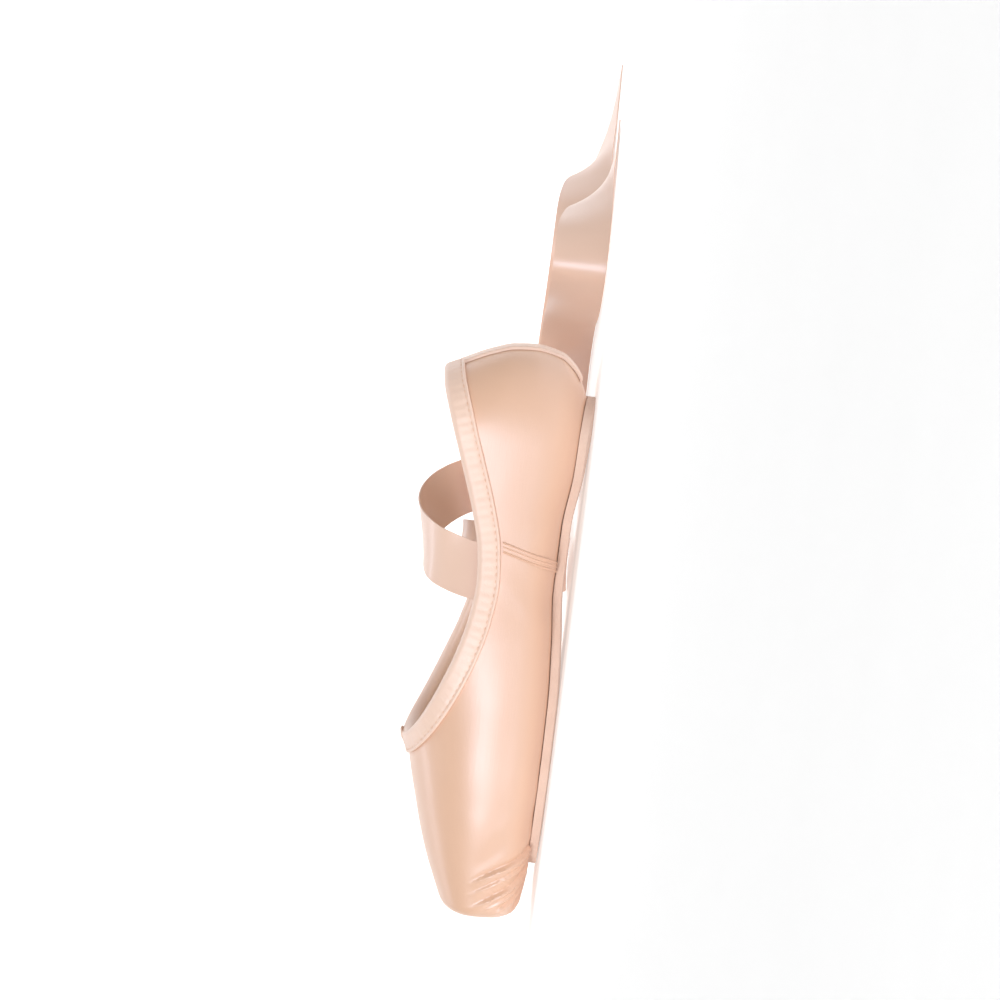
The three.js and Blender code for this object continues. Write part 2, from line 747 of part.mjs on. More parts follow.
// Side seams from the casing down to the sole
function seamSolid(side) {
  const grid = [];
  for (let i = 0; i <= 12; i += 1) {
    const share = i / 12;
    const row = [];
    for (let k = 0; k <= 2; k += 1) {
      const back = seamTop - seamLean * share + seamWidth * (k / 2 - 0.5);
      const section = sectionAt(back);
      const top = Math.atan2(collarHigh(back) - bindingWidth - 1 - section.widest, section.half);
      const low = Math.atan2(section.low + 0.4 - section.widest, soleHalf(back, 0) + 1.5);
      const turn = top + (low - top) * share;
      const start = new THREE.Vector3(back, 0, section.widest);
      const direction = new THREE.Vector3(0, side * Math.cos(turn), Math.sin(turn));
      row.push(start.addScaledVector(direction, castFrom(start.clone(), direction, false, 80)));
    }
    grid.push(row);
  }
  return overlaySolid(grid, gap, seamThickness);
}

// Crossed ends of the casing at the throat
function throatTuck() {
  const spot = line[Math.round(line.length / 2)];
  const up = spot.down.clone().negate();
  const shape = new wasm.CrossSection([[
    [-3.5, -0.9], [0, -0.4], [3.5, -0.9], [5.5, 0.2], [4.6, 1.5], [2, 2.3], [0, 1.9],
    [-2, 2.3], [-4.6, 1.5], [-5.5, 0.2],
  ]]);
  const seat = spot.point.clone().addScaledVector(spot.outward, gap * 2 + bindingThickness + 0.05);
  seat.addScaledVector(up, -1.6);
  const matrix = [
    0, 1, 0, 0,
    up.x, up.y, up.z, 0,
    spot.outward.x, spot.outward.y, spot.outward.z, 0,
    seat.x, seat.y, seat.z, 1,
  ];
  return wasm.Manifold.extrude(shape, 1.5).transform(matrix);
}

const nearRibbon = ribbonSolid(nearRibbonRows, -1);
const farRibbon = ribbonSolid(farRibbonRows, 1);

const satin = 0xe9c4aa;
const tape = 0xf3cfb6;
const group = new THREE.Group();
group.add(meshFrom('upper', upper, satin, 0.35));
group.add(meshFrom('outsole', outsole, 0xd9c2b0, 0.85));
group.add(meshFrom('insole', insole, 0xd8c9b4, 0.85));
group.add(meshFrom('collar_binding', bindingSolid(line), tape, 0.6));
group.add(meshFrom('throat_tuck', throatTuck(), tape, 0.6));
group.add(meshFrom('heel_strip', heelStrip, tape, 0.5));
group.add(meshFrom('side_seam_near', seamSolid(-1), tape, 0.5));
group.add(meshFrom('side_seam_far', seamSolid(1), tape, 0.5));
group.add(meshFrom('ribbon_near', nearRibbon.solid, tape, 0.4));
group.add(meshFrom('ribbon_far', farRibbon.solid, tape, 0.4));

export default group;
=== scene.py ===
import math
import bmesh
import bpy
import numpy as np
from mathutils import Matrix, Vector


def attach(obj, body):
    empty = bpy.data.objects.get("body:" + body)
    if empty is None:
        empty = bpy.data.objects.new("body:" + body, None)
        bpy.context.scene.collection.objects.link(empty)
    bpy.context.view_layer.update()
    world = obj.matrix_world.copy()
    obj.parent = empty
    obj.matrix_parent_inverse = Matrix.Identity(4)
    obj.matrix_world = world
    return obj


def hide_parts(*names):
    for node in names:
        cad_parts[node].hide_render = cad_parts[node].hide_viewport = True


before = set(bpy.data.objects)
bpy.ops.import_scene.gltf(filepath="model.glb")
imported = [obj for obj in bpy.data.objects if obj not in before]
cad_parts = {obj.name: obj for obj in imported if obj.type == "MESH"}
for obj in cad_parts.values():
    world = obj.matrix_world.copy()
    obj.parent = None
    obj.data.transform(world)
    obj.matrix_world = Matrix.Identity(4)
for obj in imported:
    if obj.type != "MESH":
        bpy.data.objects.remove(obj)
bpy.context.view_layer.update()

# Sizes of the shoe in millimetres, as in the part
SHOE_LENGTH = 226
BALL_WIDTH = 81
THROAT_HEIGHT = 58
HEEL_HEIGHT = 60
BOX_WALL = 3.4
TOE_WALL = 5
SOLE_THICKNESS = 3.2
ARCH_RISE = 4
FACE_LEAN = 3
EDGE_RADIUS = 5
BINDING_WIDTH = 7.5
STRIP_WIDTH = 11
STRIP_THICKNESS = 0.8
# The heel tape's top lies this far past the casing's width, where the casing's edge still covers it
STRIP_BELOW = 0.8
SEAM_WIDTH = 4.6
INSOLE_THICKNESS = 1.6
RIBBON_WIDTH = 22
RIBBON_THICKNESS = 0.35
GAP = 0.3
INSIDE_GAP = 0.7
FLAT_SINK = 0.3
HALF_LENGTH = SHOE_LENGTH / 2
HALF_BALL = BALL_WIDTH / 2
INNER_RADIUS = EDGE_RADIUS * 0.6
LEAN_HEIGHT = THROAT_HEIGHT * 0.61
LEAN_REACH = SHOE_LENGTH * 0.3
# Distance from the toe to the frame's origin, as in the part
MIDDLE_BACK = HALF_LENGTH + (GAP + STRIP_THICKNESS) / 2 + 0.2


class Table:
    """A short table read smoothly between its rows without overshoot."""

    def __init__(self, names, rows):
        data = np.array(rows, float)
        self.key = data[:, 0]
        self.columns = {name: data[:, i] for i, name in enumerate(names.split())}
        self.slopes = {}
        for name, values in self.columns.items():
            steps = np.diff(values) / np.diff(self.key)
            inner = np.zeros(len(steps) - 1)
            same = steps[:-1] * steps[1:] > 0
            inner[same] = (2 * steps[:-1] * steps[1:])[same] / (steps[:-1] + steps[1:])[same]
            self.slopes[name] = np.concatenate([[steps[0]], inner, [steps[-1]]])

    def read(self, name, at):
        at = np.clip(np.asarray(at, float), self.key[0], self.key[-1])
        i = np.clip(np.searchsorted(self.key, at) - 1, 0, len(self.key) - 2)
        span = self.key[i + 1] - self.key[i]
        t = (at - self.key[i]) / span
        values = self.columns[name]
        rise = values[i + 1] - values[i]
        first = self.slopes[name][i] * span
        last = self.slopes[name][i + 1] * span
        cubic = first + last - 2 * rise
        square = 3 * rise - 2 * first - last
        return values[i] + t * (first + t * (square + t * cubic))


LAST = Table("at width top widest lift wall over under", [
    (0.00, 0.69, 0.61, 0.31, 0.65, 1.00, 2.8, 3.0),
    (0.04, 0.74, 0.68, 0.31, 0.45, 1.00, 2.7, 3.1),
    (0.10, 0.82, 0.78, 0.31, 0.20, 1.00, 2.5, 3.4),
    (0.20, 0.94, 0.90, 0.31, 0.02, 1.00, 2.4, 3.8),
    (0.30, 1.00, 1.00, 0.32, 0.00, 0.95, 2.3, 4.0),
    (0.40, 0.98, 1.11, 0.33, 0.05, 0.65, 2.2, 3.9),
    (0.50, 0.92, 1.21, 0.34, 0.45, 0.55, 2.2, 3.5),
    (0.60, 0.83, 1.30, 0.36, 0.95, 0.55, 2.1, 3.1),
    (0.70, 0.76, 1.38, 0.38, 0.90, 0.55, 2.1, 3.1),
    (0.80, 0.71, 1.46, 0.40, 0.25, 0.55, 2.1, 3.4),
    (0.90, 0.69, 1.55, 0.43, 0.00, 0.62, 2.1, 3.6),
    (1.00, 0.69, 1.62, 0.44, 0.00, 0.62, 2.1, 3.6),
])
HEEL = Table("high back", [
    (0.00, 0.900),
    (0.06, 0.925),
    (0.10, 0.948),
    (0.16, 0.972),
    (0.26, 0.992),
    (0.42, 1.000),
    (0.56, 0.997),
    (0.70, 0.985),
    (0.85, 0.966),
    (1.00, 0.943),
    (1.40, 0.900),
])
HEEL_START = 0.84 * SHOE_LENGTH
HEEL_POWER = 2.15
SOLE_POWER = 2.2
COLLAR = Table("at high", [
    (0.20, 1.220),
    (0.25, 1.110),
    (0.297, 1.000),
    (0.35, 0.895),
    (0.42, 0.785),
    (0.48, 0.705),
    (0.54, 0.650),
    (0.60, 0.625),
    (0.66, 0.645),
    (0.72, 0.705),
    (0.80, 0.815),
    (0.88, 0.930),
    (0.94, 1.010),
    (1.00, 1.050),
])
SOLE = Table("at half", [
    (0.08, 0.47),
    (0.14, 0.56),
    (0.20, 0.65),
    (0.30, 0.71),
    (0.40, 0.68),
    (0.50, 0.56),
    (0.60, 0.43),
    (0.68, 0.39),
    (0.78, 0.43),
    (0.88, 0.48),
    (0.95, 0.48),
])
SOLE_FRONT = 0.092 * SHOE_LENGTH
SOLE_BACK = 0.925 * SHOE_LENGTH
SOLE_TIP_ROUND = 0.075 * SHOE_LENGTH
SOLE_HEEL_ROUND = 0.085 * SHOE_LENGTH
MARGIN_WIDTH = 7

# Way of each ribbon: along is a share of the shoe length, across of the ball width,
# high of the throat height, and the last three the direction of the ribbon's width
NEAR_RIBBON = [
    (0.122, -0.280, 0.790, 1.00, 0.12, 0.00),
    (0.135, -0.200, 0.960, 0.99, 0.05, 0.10),
    (0.160, 0.000, 1.060, 0.97, 0.00, 0.22),
    (0.192, 0.240, 0.990, 0.95, 0.00, 0.33),
    (0.216, 0.415, 0.815, 0.95, -0.10, 0.33),
    (0.232, 0.540, 0.560, 0.98, -0.15, 0.15),
    (0.245, 0.640, 0.220, 0.99, -0.10, 0.00),
    (0.252, 0.790, 0.000, 1.00, -0.05, 0.00),
    (0.262, 1.040, 0.000, 0.80, -0.10, 0.50),
    (0.282, 1.370, 0.000, 0.20, -0.05, 0.95),
    (0.325, 1.680, 0.000, 0.05, -0.10, 0.98),
    (0.395, 1.800, 0.000, 0.00, -0.15, 0.98),
    (0.462, 1.640, 0.000, 0.00, -0.10, 0.98),
    (0.500, 1.340, 0.000, 0.12, 0.00, 0.98),
    (0.540, 1.050, 0.000, 0.12, 0.05, 0.98),
    (0.605, 0.880, 0.000, 0.00, 0.15, 0.98),
    (0.672, 1.000, 0.000, -0.15, 0.12, 0.96),
    (0.715, 1.280, 0.000, -0.50, 0.10, 0.80),
    (0.755, 1.560, 0.000, -0.95, 0.20, 0.20),
    (0.810, 1.820, 0.000, -0.95, 0.30, 0.00),
]
FAR_RIBBON = [
    (0.113, 0.355, 0.715, 1.00, -0.10, 0.00),
    (0.108, 0.415, 0.780, 1.00, -0.10, 0.00),
    (0.102, 0.475, 0.710, 1.00, -0.10, 0.00),
    (0.092, 0.525, 0.480, 1.00, -0.05, 0.00),
    (0.083, 0.590, 0.200, 1.00, 0.00, 0.00),
    (0.076, 0.730, 0.000, 1.00, 0.00, 0.00),
    (0.072, 1.020, 0.000, 0.80, -0.10, 0.50),
    (0.082, 1.420, 0.000, 0.20, -0.05, 0.95),
    (0.115, 1.840, 0.000, 0.05, -0.10, 0.98),
    (0.180, 2.190, 0.000, 0.00, -0.15, 0.98),
    (0.270, 2.400, 0.000, 0.00, -0.10, 0.98),
    (0.360, 2.400, 0.000, 0.00, 0.00, 0.98),
    (0.440, 2.220, 0.000, 0.05, 0.10, 0.98),
    (0.515, 1.990, 0.000, 0.05, 0.12, 0.98),
    (0.595, 1.880, 0.000, 0.00, 0.15, 0.98),
    (0.670, 2.000, 0.000, -0.15, 0.15, 0.96),
    (0.722, 2.260, 0.000, -0.40, 0.20, 0.85),
    (0.772, 2.530, 0.000, -0.80, 0.40, 0.30),
    (0.880, 2.960, 0.000, -0.80, 0.60, 0.00),
]
RIBBON_AT = 0.615
SEAM_TOP = 0.669 * SHOE_LENGTH
SEAM_LEAN = 0.035 * SHOE_LENGTH
UNDER_HEIGHT = SOLE_THICKNESS + GAP - FLAT_SINK


def smooth(low, high, value):
    t = np.clip((value - low) / (high - low), 0, 1)
    return t * t * (3 - 2 * t)


def hill(middle, width, value):
    return np.exp(-((value - middle) / width) ** 2)


def half_at(back):
    return HALF_BALL * LAST.read("width", back / SHOE_LENGTH)


def widest_at(back):
    return THROAT_HEIGHT * LAST.read("widest", back / SHOE_LENGTH)


def low_at(back):
    return UNDER_HEIGHT + ARCH_RISE * LAST.read("lift", back / SHOE_LENGTH)


def wall_at(back):
    return BOX_WALL * LAST.read("wall", back / SHOE_LENGTH)


def heel_back(high):
    return SHOE_LENGTH * HEEL.read("back", high / HEEL_HEIGHT)


def collar_high(back):
    return THROAT_HEIGHT * COLLAR.read("high", back / SHOE_LENGTH)


def lean_at(depth, high):
    """How far back the leaning face moves a point, most at the floor."""
    share = np.clip(1 - high / LEAN_HEIGHT, 0, 1)
    fade = np.clip(1 - depth / LEAN_REACH, 0, 1)
    return FACE_LEAN * share * fade * fade


def inside_last(depth, across, high, inner):
    """Above zero inside the last, shrunk by the wall where inner is true."""
    depth, across, high = np.broadcast_arrays(depth, across, high)
    at = depth / SHOE_LENGTH
    widest = widest_at(depth)
    top = THROAT_HEIGHT * LAST.read("top", at)
    wall = wall_at(depth) if inner else 0.0
    rounding = INNER_RADIUS if inner else EDGE_RADIUS
    behind = depth - (TOE_WALL if inner else 0.0)
    short = np.clip(rounding - behind, 0, rounding)
    edge = wall + rounding - np.sqrt(rounding * rounding - short * short)
    above = high > widest
    reach = np.where(above, top - widest, widest - low_at(depth)) - edge
    power = np.where(above, LAST.read("over", at), LAST.read("under", at))
    upward = np.abs(high - widest) / reach
    end = heel_back(high) - wall
    toward = np.clip((depth - HEEL_START) / (end - HEEL_START), 0, 1)
    closing = (1 - toward ** HEEL_POWER) ** (power / HEEL_POWER)
    rising = 1 - upward ** power
    sideways = (np.abs(across) / (half_at(depth) - edge)) ** power
    value = np.where(rising <= 0, rising - 0.001, rising * closing - sideways)
    return np.where(behind < 0, -1.0, value)


def inside_at(points, inner):
    depth = points[..., 0] - lean_at(points[..., 0], points[..., 2])
    return inside_last(depth, points[..., 1], points[..., 2], inner)


def cast_from(start, direction, inner, limit):
    """Distance from points inside the last to its surface."""
    near = np.zeros(start.shape[:-1])
    far = np.full(start.shape[:-1], float(limit))
    for _ in range(34):
        middle = (near + far) / 2
        ok = inside_at(start + direction * middle[..., None], inner) > 0
        near = np.where(ok, middle, near)
        far = np.where(ok, far, middle)
    return near


SLOPE_STEP = 0.05
SEAT_REACH = 12


def unit(vectors):
    return vectors / np.maximum(np.linalg.norm(vectors, axis=-1, keepdims=True), 1e-12)


def outward_at(points):
    slope = np.zeros_like(points)
    for k in range(3):
        step = np.zeros(3)
        step[k] = SLOPE_STEP
        slope[..., k] = inside_at(points - step, False) - inside_at(points + step, False)
    return unit(slope)


def seat_on(points, outward, inner):
    """Points moved along the outward direction onto the last."""
    start = points - outward * SEAT_REACH
    return start + outward * cast_from(start, outward, inner, 2 * SEAT_REACH)[..., None]


def metres(points):
    return (np.asarray(points, float) - (MIDDLE_BACK, 0, 0)) / 1000


def lengths_along(track):
    """Length of a track from its start up to each of its points."""
    return np.concatenate([[0], np.cumsum(np.linalg.norm(np.diff(track, axis=0), axis=-1))])


def read_along(marks, lengths, track):
    """Points, or directions, at the marked lengths of a track."""
    return np.stack([np.interp(marks, lengths, track[:, k]) for k in range(3)], axis=-1)


def mesh_object(name, points, faces, materials, sharp=40, already=False):
    """A mesh from points in the shoe's own millimetres, or already in metres."""
    places = np.asarray(points, float) if already else metres(points)
    mesh = bpy.data.meshes.new(name)
    mesh.from_pydata(places.tolist(), [], [tuple(int(i) for i in face) for face in faces])
    mesh.validate()
    shape = bmesh.new()
    shape.from_mesh(mesh)
    bmesh.ops.recalc_face_normals(shape, faces=shape.faces)
    shape.to_mesh(mesh)
    shape.free()
    for material in materials:
        mesh.materials.append(material)
    mesh.polygons.foreach_set("use_smooth", [True] * len(mesh.polygons))
    mesh.set_sharp_from_angle(angle=math.radians(sharp))
    mesh.update()
    thing = bpy.data.objects.new(name, mesh)
    bpy.context.scene.collection.objects.link(thing)
    return thing


def grid_faces(rows, columns, first=0, round_columns=False, turned=False):
    faces = []
    last = columns if round_columns else columns - 1
    for i in range(rows - 1):
        for k in range(last):
            n = (k + 1) % columns
            face = (
                first + i * columns + k,
                first + (i + 1) * columns + k,
                first + (i + 1) * columns + n,
                first + i * columns + n,
            )
            faces.append(face[::-1] if turned else face)
    return faces


def capped(faces, rows, columns, first=0):
    """A tube's faces with both of its ends closed."""
    faces.append(tuple(first + k for k in range(columns)))
    faces.append(tuple(first + (rows - 1) * columns + k for k in range(columns))[::-1])
    return faces


def sheet_mesh(name, top, bottom, materials, sharp=40):
    """A thin closed solid between two grids of points."""
    rows, columns = top.shape[:2]
    size = rows * columns
    faces = grid_faces(rows, columns) + grid_faces(rows, columns, first=size, turned=True)
    edge = list(range(columns)) + [(i + 1) * columns - 1 for i in range(1, rows)]
    edge += [(rows - 1) * columns + k for k in range(columns - 2, -1, -1)]
    edge += [i * columns for i in range(rows - 2, 0, -1)]
    for a, b in zip(edge, edge[1:] + edge[:1]):
        faces.append((a, b, size + b, size + a))
    points = np.concatenate([top.reshape(-1, 3), bottom.reshape(-1, 3)])
    return mesh_object(name, points, faces, materials, sharp)


def round_edges(thing, width, segments):
    bevel = thing.modifiers.new("edge", "BEVEL")
    bevel.width = width
    bevel.segments = segments
    bevel.limit_method = "ANGLE"
    bevel.angle_limit = math.radians(50)


def finish_piece(thing, node):
    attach(thing, "root")
    if node:
        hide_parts(node)
    return thing


# Materials
def rgb(red, green, blue):
    def linear(value):
        value = value / 255
        return value / 12.92 if value <= 0.04045 else ((value + 0.055) / 1.055) ** 2.4

    return (linear(red), linear(green), linear(blue), 1.0)


class Shader:
    """Small helper to lay out a node tree."""

    def __init__(self, name):
        self.material = bpy.data.materials.new(name)
        self.material.use_nodes = True
        self.tree = self.material.node_tree
        self.body = self.tree.nodes["Principled BSDF"]
        self.place = self.tree.nodes.new("ShaderNodeTexCoord").outputs["Object"]

    def link(self, source, target):
        self.tree.links.new(source, target)

    def feed(self, socket, value):
        """Links the socket where the value is an output, and sets it otherwise."""
        if hasattr(value, "is_linked"):
            self.link(value, socket)
        else:
            socket.default_value = value

    def node(self, kind, **inputs):
        made = self.tree.nodes.new(kind)
        for name, value in inputs.items():
            self.feed(made.inputs[name.replace("_", " ")], value)
        return made

    def noise(self, scale, detail=2.0, stretch=(1, 1, 1), roughness=0.5):
        mapping = self.node("ShaderNodeMapping", Vector=self.place, Scale=stretch)
        made = self.node(
            "ShaderNodeTexNoise",
            Vector=mapping.outputs["Vector"],
            Scale=scale,
            Detail=detail,
            Roughness=roughness,
        )
        return made.outputs["Fac"]

    def mix(self, factor, first, second):
        made = self.tree.nodes.new("ShaderNodeMix")
        made.data_type = "RGBA"
        # sockets 0, 6 and 7 are the factor and the two colours
        for i, value in ((0, factor), (6, first), (7, second)):
            self.feed(made.inputs[i], value)
        return made.outputs[2]

    def ramp(self, source, low, high, first, second):
        made = self.tree.nodes.new("ShaderNodeMapRange")
        self.link(source, made.inputs[0])
        for i, value in enumerate((low, high, first, second)):
            made.inputs[i + 1].default_value = value
        return made.outputs[0]

    def add(self, first, second, kind="ADD"):
        made = self.tree.nodes.new("ShaderNodeMath")
        made.operation = kind
        self.feed(made.inputs[0], first)
        self.feed(made.inputs[1], second)
        return made.outputs[0]

    def bump(self, height, strength, distance):
        made = self.node("ShaderNodeBump", Height=height, Strength=strength, Distance=distance)
        self.link(made.outputs["Normal"], self.body.inputs["Normal"])

    def set(self, **inputs):
        for name, value in inputs.items():
            self.body.inputs[name.replace("_", " ")].default_value = value


# Scale of the satin's threads along x, y and z, and the depth of each grain in metres
THREADS = (30, 2600, 2600)
CLOTH_BUMP = 0.0002
SATIN_BUMP = 0.0003
LEATHER_BUMP = 0.0003
GRAIN_STRENGTH = 0.35


def satin_material(name, light, dark, roughness, fine, along=THREADS):
    """Smooth cloth of long threads, with a sheen that varies slowly."""
    shader = Shader(name)
    clouds = shader.noise(26, 1)
    colour = shader.mix(shader.ramp(clouds, 0.0, 1.0, 0.0, 1.0), light, dark)
    shader.link(colour, shader.body.inputs["Base Color"])
    threads = shader.noise(1.0, 2, stretch=along)
    weave = shader.noise(1.0, 1, stretch=(along[1], along[0], along[0]))
    height = shader.add(threads, shader.add(weave, 0.35, "MULTIPLY"))
    shader.bump(height, fine, SATIN_BUMP)
    rough = shader.ramp(clouds, 0.0, 1.0, roughness - 0.05, roughness + 0.05)
    shader.link(rough, shader.body.inputs["Roughness"])
    shader.set(IOR=1.62, Specular_IOR_Level=1.0, Sheen_Weight=0.1, Sheen_Roughness=0.35)
    shader.body.inputs["Sheen Tint"].default_value = rgb(255, 226, 208)
    shader.body.inputs["Specular Tint"].default_value = rgb(225, 233, 255)
    return shader.material


def cloth_material(name, light, dark, roughness, thread):
    """Matt cloth of crossing threads."""
    shader = Shader(name)
    clouds = shader.noise(60, 3)
    colour = shader.mix(shader.ramp(clouds, 0.3, 0.7, 0.0, 1.0), light, dark)
    shader.link(colour, shader.body.inputs["Base Color"])
    waves = []
    for direction in ("X", "Z"):
        wave = shader.tree.nodes.new("ShaderNodeTexWave")
        wave.wave_type = "BANDS"
        wave.bands_direction = direction
        shader.link(shader.place, wave.inputs["Vector"])
        wave.inputs["Scale"].default_value = thread
        wave.inputs["Distortion"].default_value = 1.2
        wave.inputs["Detail"].default_value = 1.0
        waves.append(wave.outputs["Fac"])
    height = shader.add(waves[0], waves[1])
    height = shader.add(height, shader.noise(500, 2))
    shader.bump(height, GRAIN_STRENGTH, CLOTH_BUMP)
    shader.set(Roughness=roughness, Specular_IOR_Level=0.3, Sheen_Weight=0.2, Sheen_Roughness=0.5)
    return shader.material


def leather_material(name, light, dark, roughness):
    """Matt suede with a fine cell-like grain."""
    shader = Shader(name)
    clouds = shader.noise(45, 5, roughness=0.6)
    colour = shader.mix(shader.ramp(clouds, 0.3, 0.7, 0.0, 1.0), light, dark)
    shader.link(colour, shader.body.inputs["Base Color"])
    grain = shader.tree.nodes.new("ShaderNodeTexVoronoi")
    shader.link(shader.place, grain.inputs["Vector"])
    grain.inputs["Scale"].default_value = 1400
    height = shader.add(grain.outputs["Distance"], shader.noise(700, 3))
    shader.bump(height, GRAIN_STRENGTH, LEATHER_BUMP)
    shader.set(Roughness=roughness, Specular_IOR_Level=0.3, Sheen_Weight=0.15)
    return shader.material


SATIN = satin_material("satin", rgb(238, 196, 167), rgb(232, 188, 157), 0.36, 0.12)
TAPE = satin_material(
    "tape", rgb(249, 217, 196), rgb(245, 210, 188), 0.5, 0.2, along=(1500, 1500, 1500),
)
RIBBON = satin_material(
    "ribbon", rgb(247, 213, 192), rgb(241, 204, 181), 0.36, 0.1, along=(1800, 1800, 1800),
)
LINING = cloth_material("lining", rgb(250, 236, 222), rgb(244, 228, 211), 0.85, 420)
SOLE_SKIN = leather_material("sole_leather", rgb(233, 209, 195), rgb(223, 196, 181), 0.8)
BOARD = cloth_material("insole_cloth", rgb(247, 233, 217), rgb(239, 223, 205), 0.85, 300)
THREAD = cloth_material("thread", rgb(244, 208, 184), rgb(236, 196, 170), 0.6, 900)


# The last as a mesh
TOE_RING_STEP = 0.42
# Draws the points of a ring together towards the underside
CROWDING = 0.35
LAST_REACH = 140.0


def last_rings(inner, around, along, closing, edge_rings, face_rings, toe_rings=0):
    """Rings of points from the toe to the heel, closer together at the folds."""
    start = TOE_WALL if inner else 0.0
    rounding = INNER_RADIUS if inner else EDGE_RADIUS
    end = SHOE_LENGTH - (float(wall_at(SHOE_LENGTH)) if inner else 0.0)
    turns = np.linspace(0, math.pi / 2, edge_rings + 1)[:-1]
    depths = list(start + rounding * (1 - np.cos(turns)))
    toe_end = start + rounding + TOE_RING_STEP * toe_rings
    depths += list(np.linspace(start + rounding, toe_end, toe_rings + 1)[:-1])
    depths += list(np.linspace(toe_end, HEEL_START, along + 1))
    turns = np.linspace(0, math.pi / 2, closing + 1)[1:-1]
    depths += list(HEEL_START + (end - HEEL_START) * np.sin(turns))
    depth = np.array(depths)[:, None]
    turn = (np.arange(around) / around * 2 * math.pi)[None, :]
    if toe_rings:
        turn = turn + CROWDING * np.cos(turn)
    high = widest_at(depth)
    near = np.zeros((len(depths), around))
    far = np.full((len(depths), around), LAST_REACH)
    for _ in range(36):
        middle = (near + far) / 2
        across = middle * np.cos(turn)
        ok = inside_last(depth, across, high + middle * np.sin(turn), inner) > 0
        near = np.where(ok, middle, near)
        far = np.where(ok, far, middle)
    scale = np.linspace(0, 1, face_rings + 2)[1:-1][:, None]
    near = np.concatenate([near[:1] * scale, near])
    depth = np.concatenate([np.full((face_rings, 1), depths[0]), depth])
    high = widest_at(depth)
    across = near * np.cos(turn)
    up = high + near * np.sin(turn)
    back = depth + 0 * up
    for _ in range(5):
        back = depth + lean_at(back, up)
    rings = np.stack([back, across, up], axis=-1)
    front_high = float(widest_at(start))
    front = np.array([start + float(lean_at(start, front_high)), 0, front_high])
    tip = np.array([end, 0, float(widest_at(end))])
    return rings, front, tip


def girths(rings):
    """Distance of every point from the middle of the underside, along its ring."""
    around = rings.shape[1]
    low = int(np.argmin(rings[len(rings) // 3, :, 2]))
    turned = np.roll(rings, -low, axis=1)
    closed = np.concatenate([turned, turned[:, :1]], axis=1)
    steps = np.linalg.norm(np.diff(closed, axis=1), axis=-1)
    one_way = np.concatenate([np.zeros((len(rings), 1)), np.cumsum(steps, axis=1)], axis=1)
    one_way = one_way[:, :around]
    whole = np.sum(steps, axis=1, keepdims=True)
    return np.roll(np.minimum(one_way, whole - one_way), low, axis=1)


def last_mesh(
    name, inner, around, along, closing, edge_rings, face_rings, material, toe_rings=0, change=None,
):
    """The last as a closed mesh, moved outward by what change gives."""
    rings, front, tip = last_rings(
        inner, around, along, closing, edge_rings, face_rings, toe_rings,
    )
    count = len(rings)
    if change is not None:
        normals = unit(np.cross(
            np.gradient(rings, axis=0),
            np.roll(rings, -1, axis=1) - np.roll(rings, 1, axis=1),
        ))
        middle = np.array([[0, 0, 1]]) * widest_at(rings[..., 0])[..., None]
        away = rings - np.concatenate([rings[..., :1], middle[..., 1:]], axis=-1)
        sign = np.where(np.sum(normals * away, axis=-1) < 0, -1, 1)
        sign[:face_rings + 1] = np.where(normals[:face_rings + 1, :, 0] > 0, -1, 1)
        normals = normals * sign[..., None]
        rings = rings + normals * change(rings, girths(rings))[..., None]
    points = np.concatenate([rings.reshape(-1, 3), [front, tip]])
    faces = grid_faces(count, around, round_columns=True)
    first, last = count * around, count * around + 1
    for k in range(around):
        n = (k + 1) % around
        faces.append((first, k, n))
        faces.append((last, (count - 1) * around + n, (count - 1) * around + k))
    return mesh_object(name, points, faces, [material])


COLLAR_FINE = 2400
CUT_ROOF = 190
CUT_OUTSIDE = 3
CUT_INSIDE = 6
CUT_MIDDLE = SHOE_LENGTH * 0.62
CUT_LOW = THROAT_HEIGHT * 0.66


def collar_line(count):
    """Evenly spaced points on the collar's edge, with their directions."""
    turn = np.linspace(0, 2 * math.pi, COLLAR_FINE, endpoint=False)
    middle = SHOE_LENGTH * 0.6
    near = np.zeros_like(turn)
    far = np.full_like(turn, float(SHOE_LENGTH))
    for _ in range(40):
        reach = (near + far) / 2
        x = middle + reach * np.cos(turn)
        points = np.stack([x, reach * np.sin(turn), collar_high(x)], axis=-1)
        ok = inside_at(points, False) > 0
        near = np.where(ok, reach, near)
        far = np.where(ok, far, reach)
    x = middle + near * np.cos(turn)
    fine = np.stack([x, near * np.sin(turn), collar_high(x)], axis=-1)
    closed = np.concatenate([fine, fine[:1]])
    lengths = lengths_along(closed)
    want = np.linspace(0, lengths[-1], count, endpoint=False)
    line = read_along(want, lengths, closed)
    along = unit(np.roll(line, -1, axis=0) - np.roll(line, 1, axis=0))
    outward = outward_at(line)
    down = unit(np.cross(along, outward))
    return line, along, outward, down, lengths[-1]


def collar_cutter(count):
    """What lies above the collar's edge, as one closed mesh."""
    line, _, outward = collar_line(count)[:3]
    outer = line + outward * CUT_OUTSIDE
    roof = outer.copy()
    roof[:, 2] = CUT_ROOF
    inner = line - outward * CUT_INSIDE
    ends = [[CUT_MIDDLE, 0, CUT_ROOF], [CUT_MIDDLE, 0, CUT_LOW]]
    points = np.concatenate([roof, outer, inner, ends])
    faces = grid_faces(3, count, round_columns=True, turned=True)
    for k in range(count):
        n = (k + 1) % count
        faces.append((3 * count, k, n))
        faces.append((3 * count + 1, 2 * count + n, 2 * count + k))
    return mesh_object("cut_collar", points, faces, [LINING])


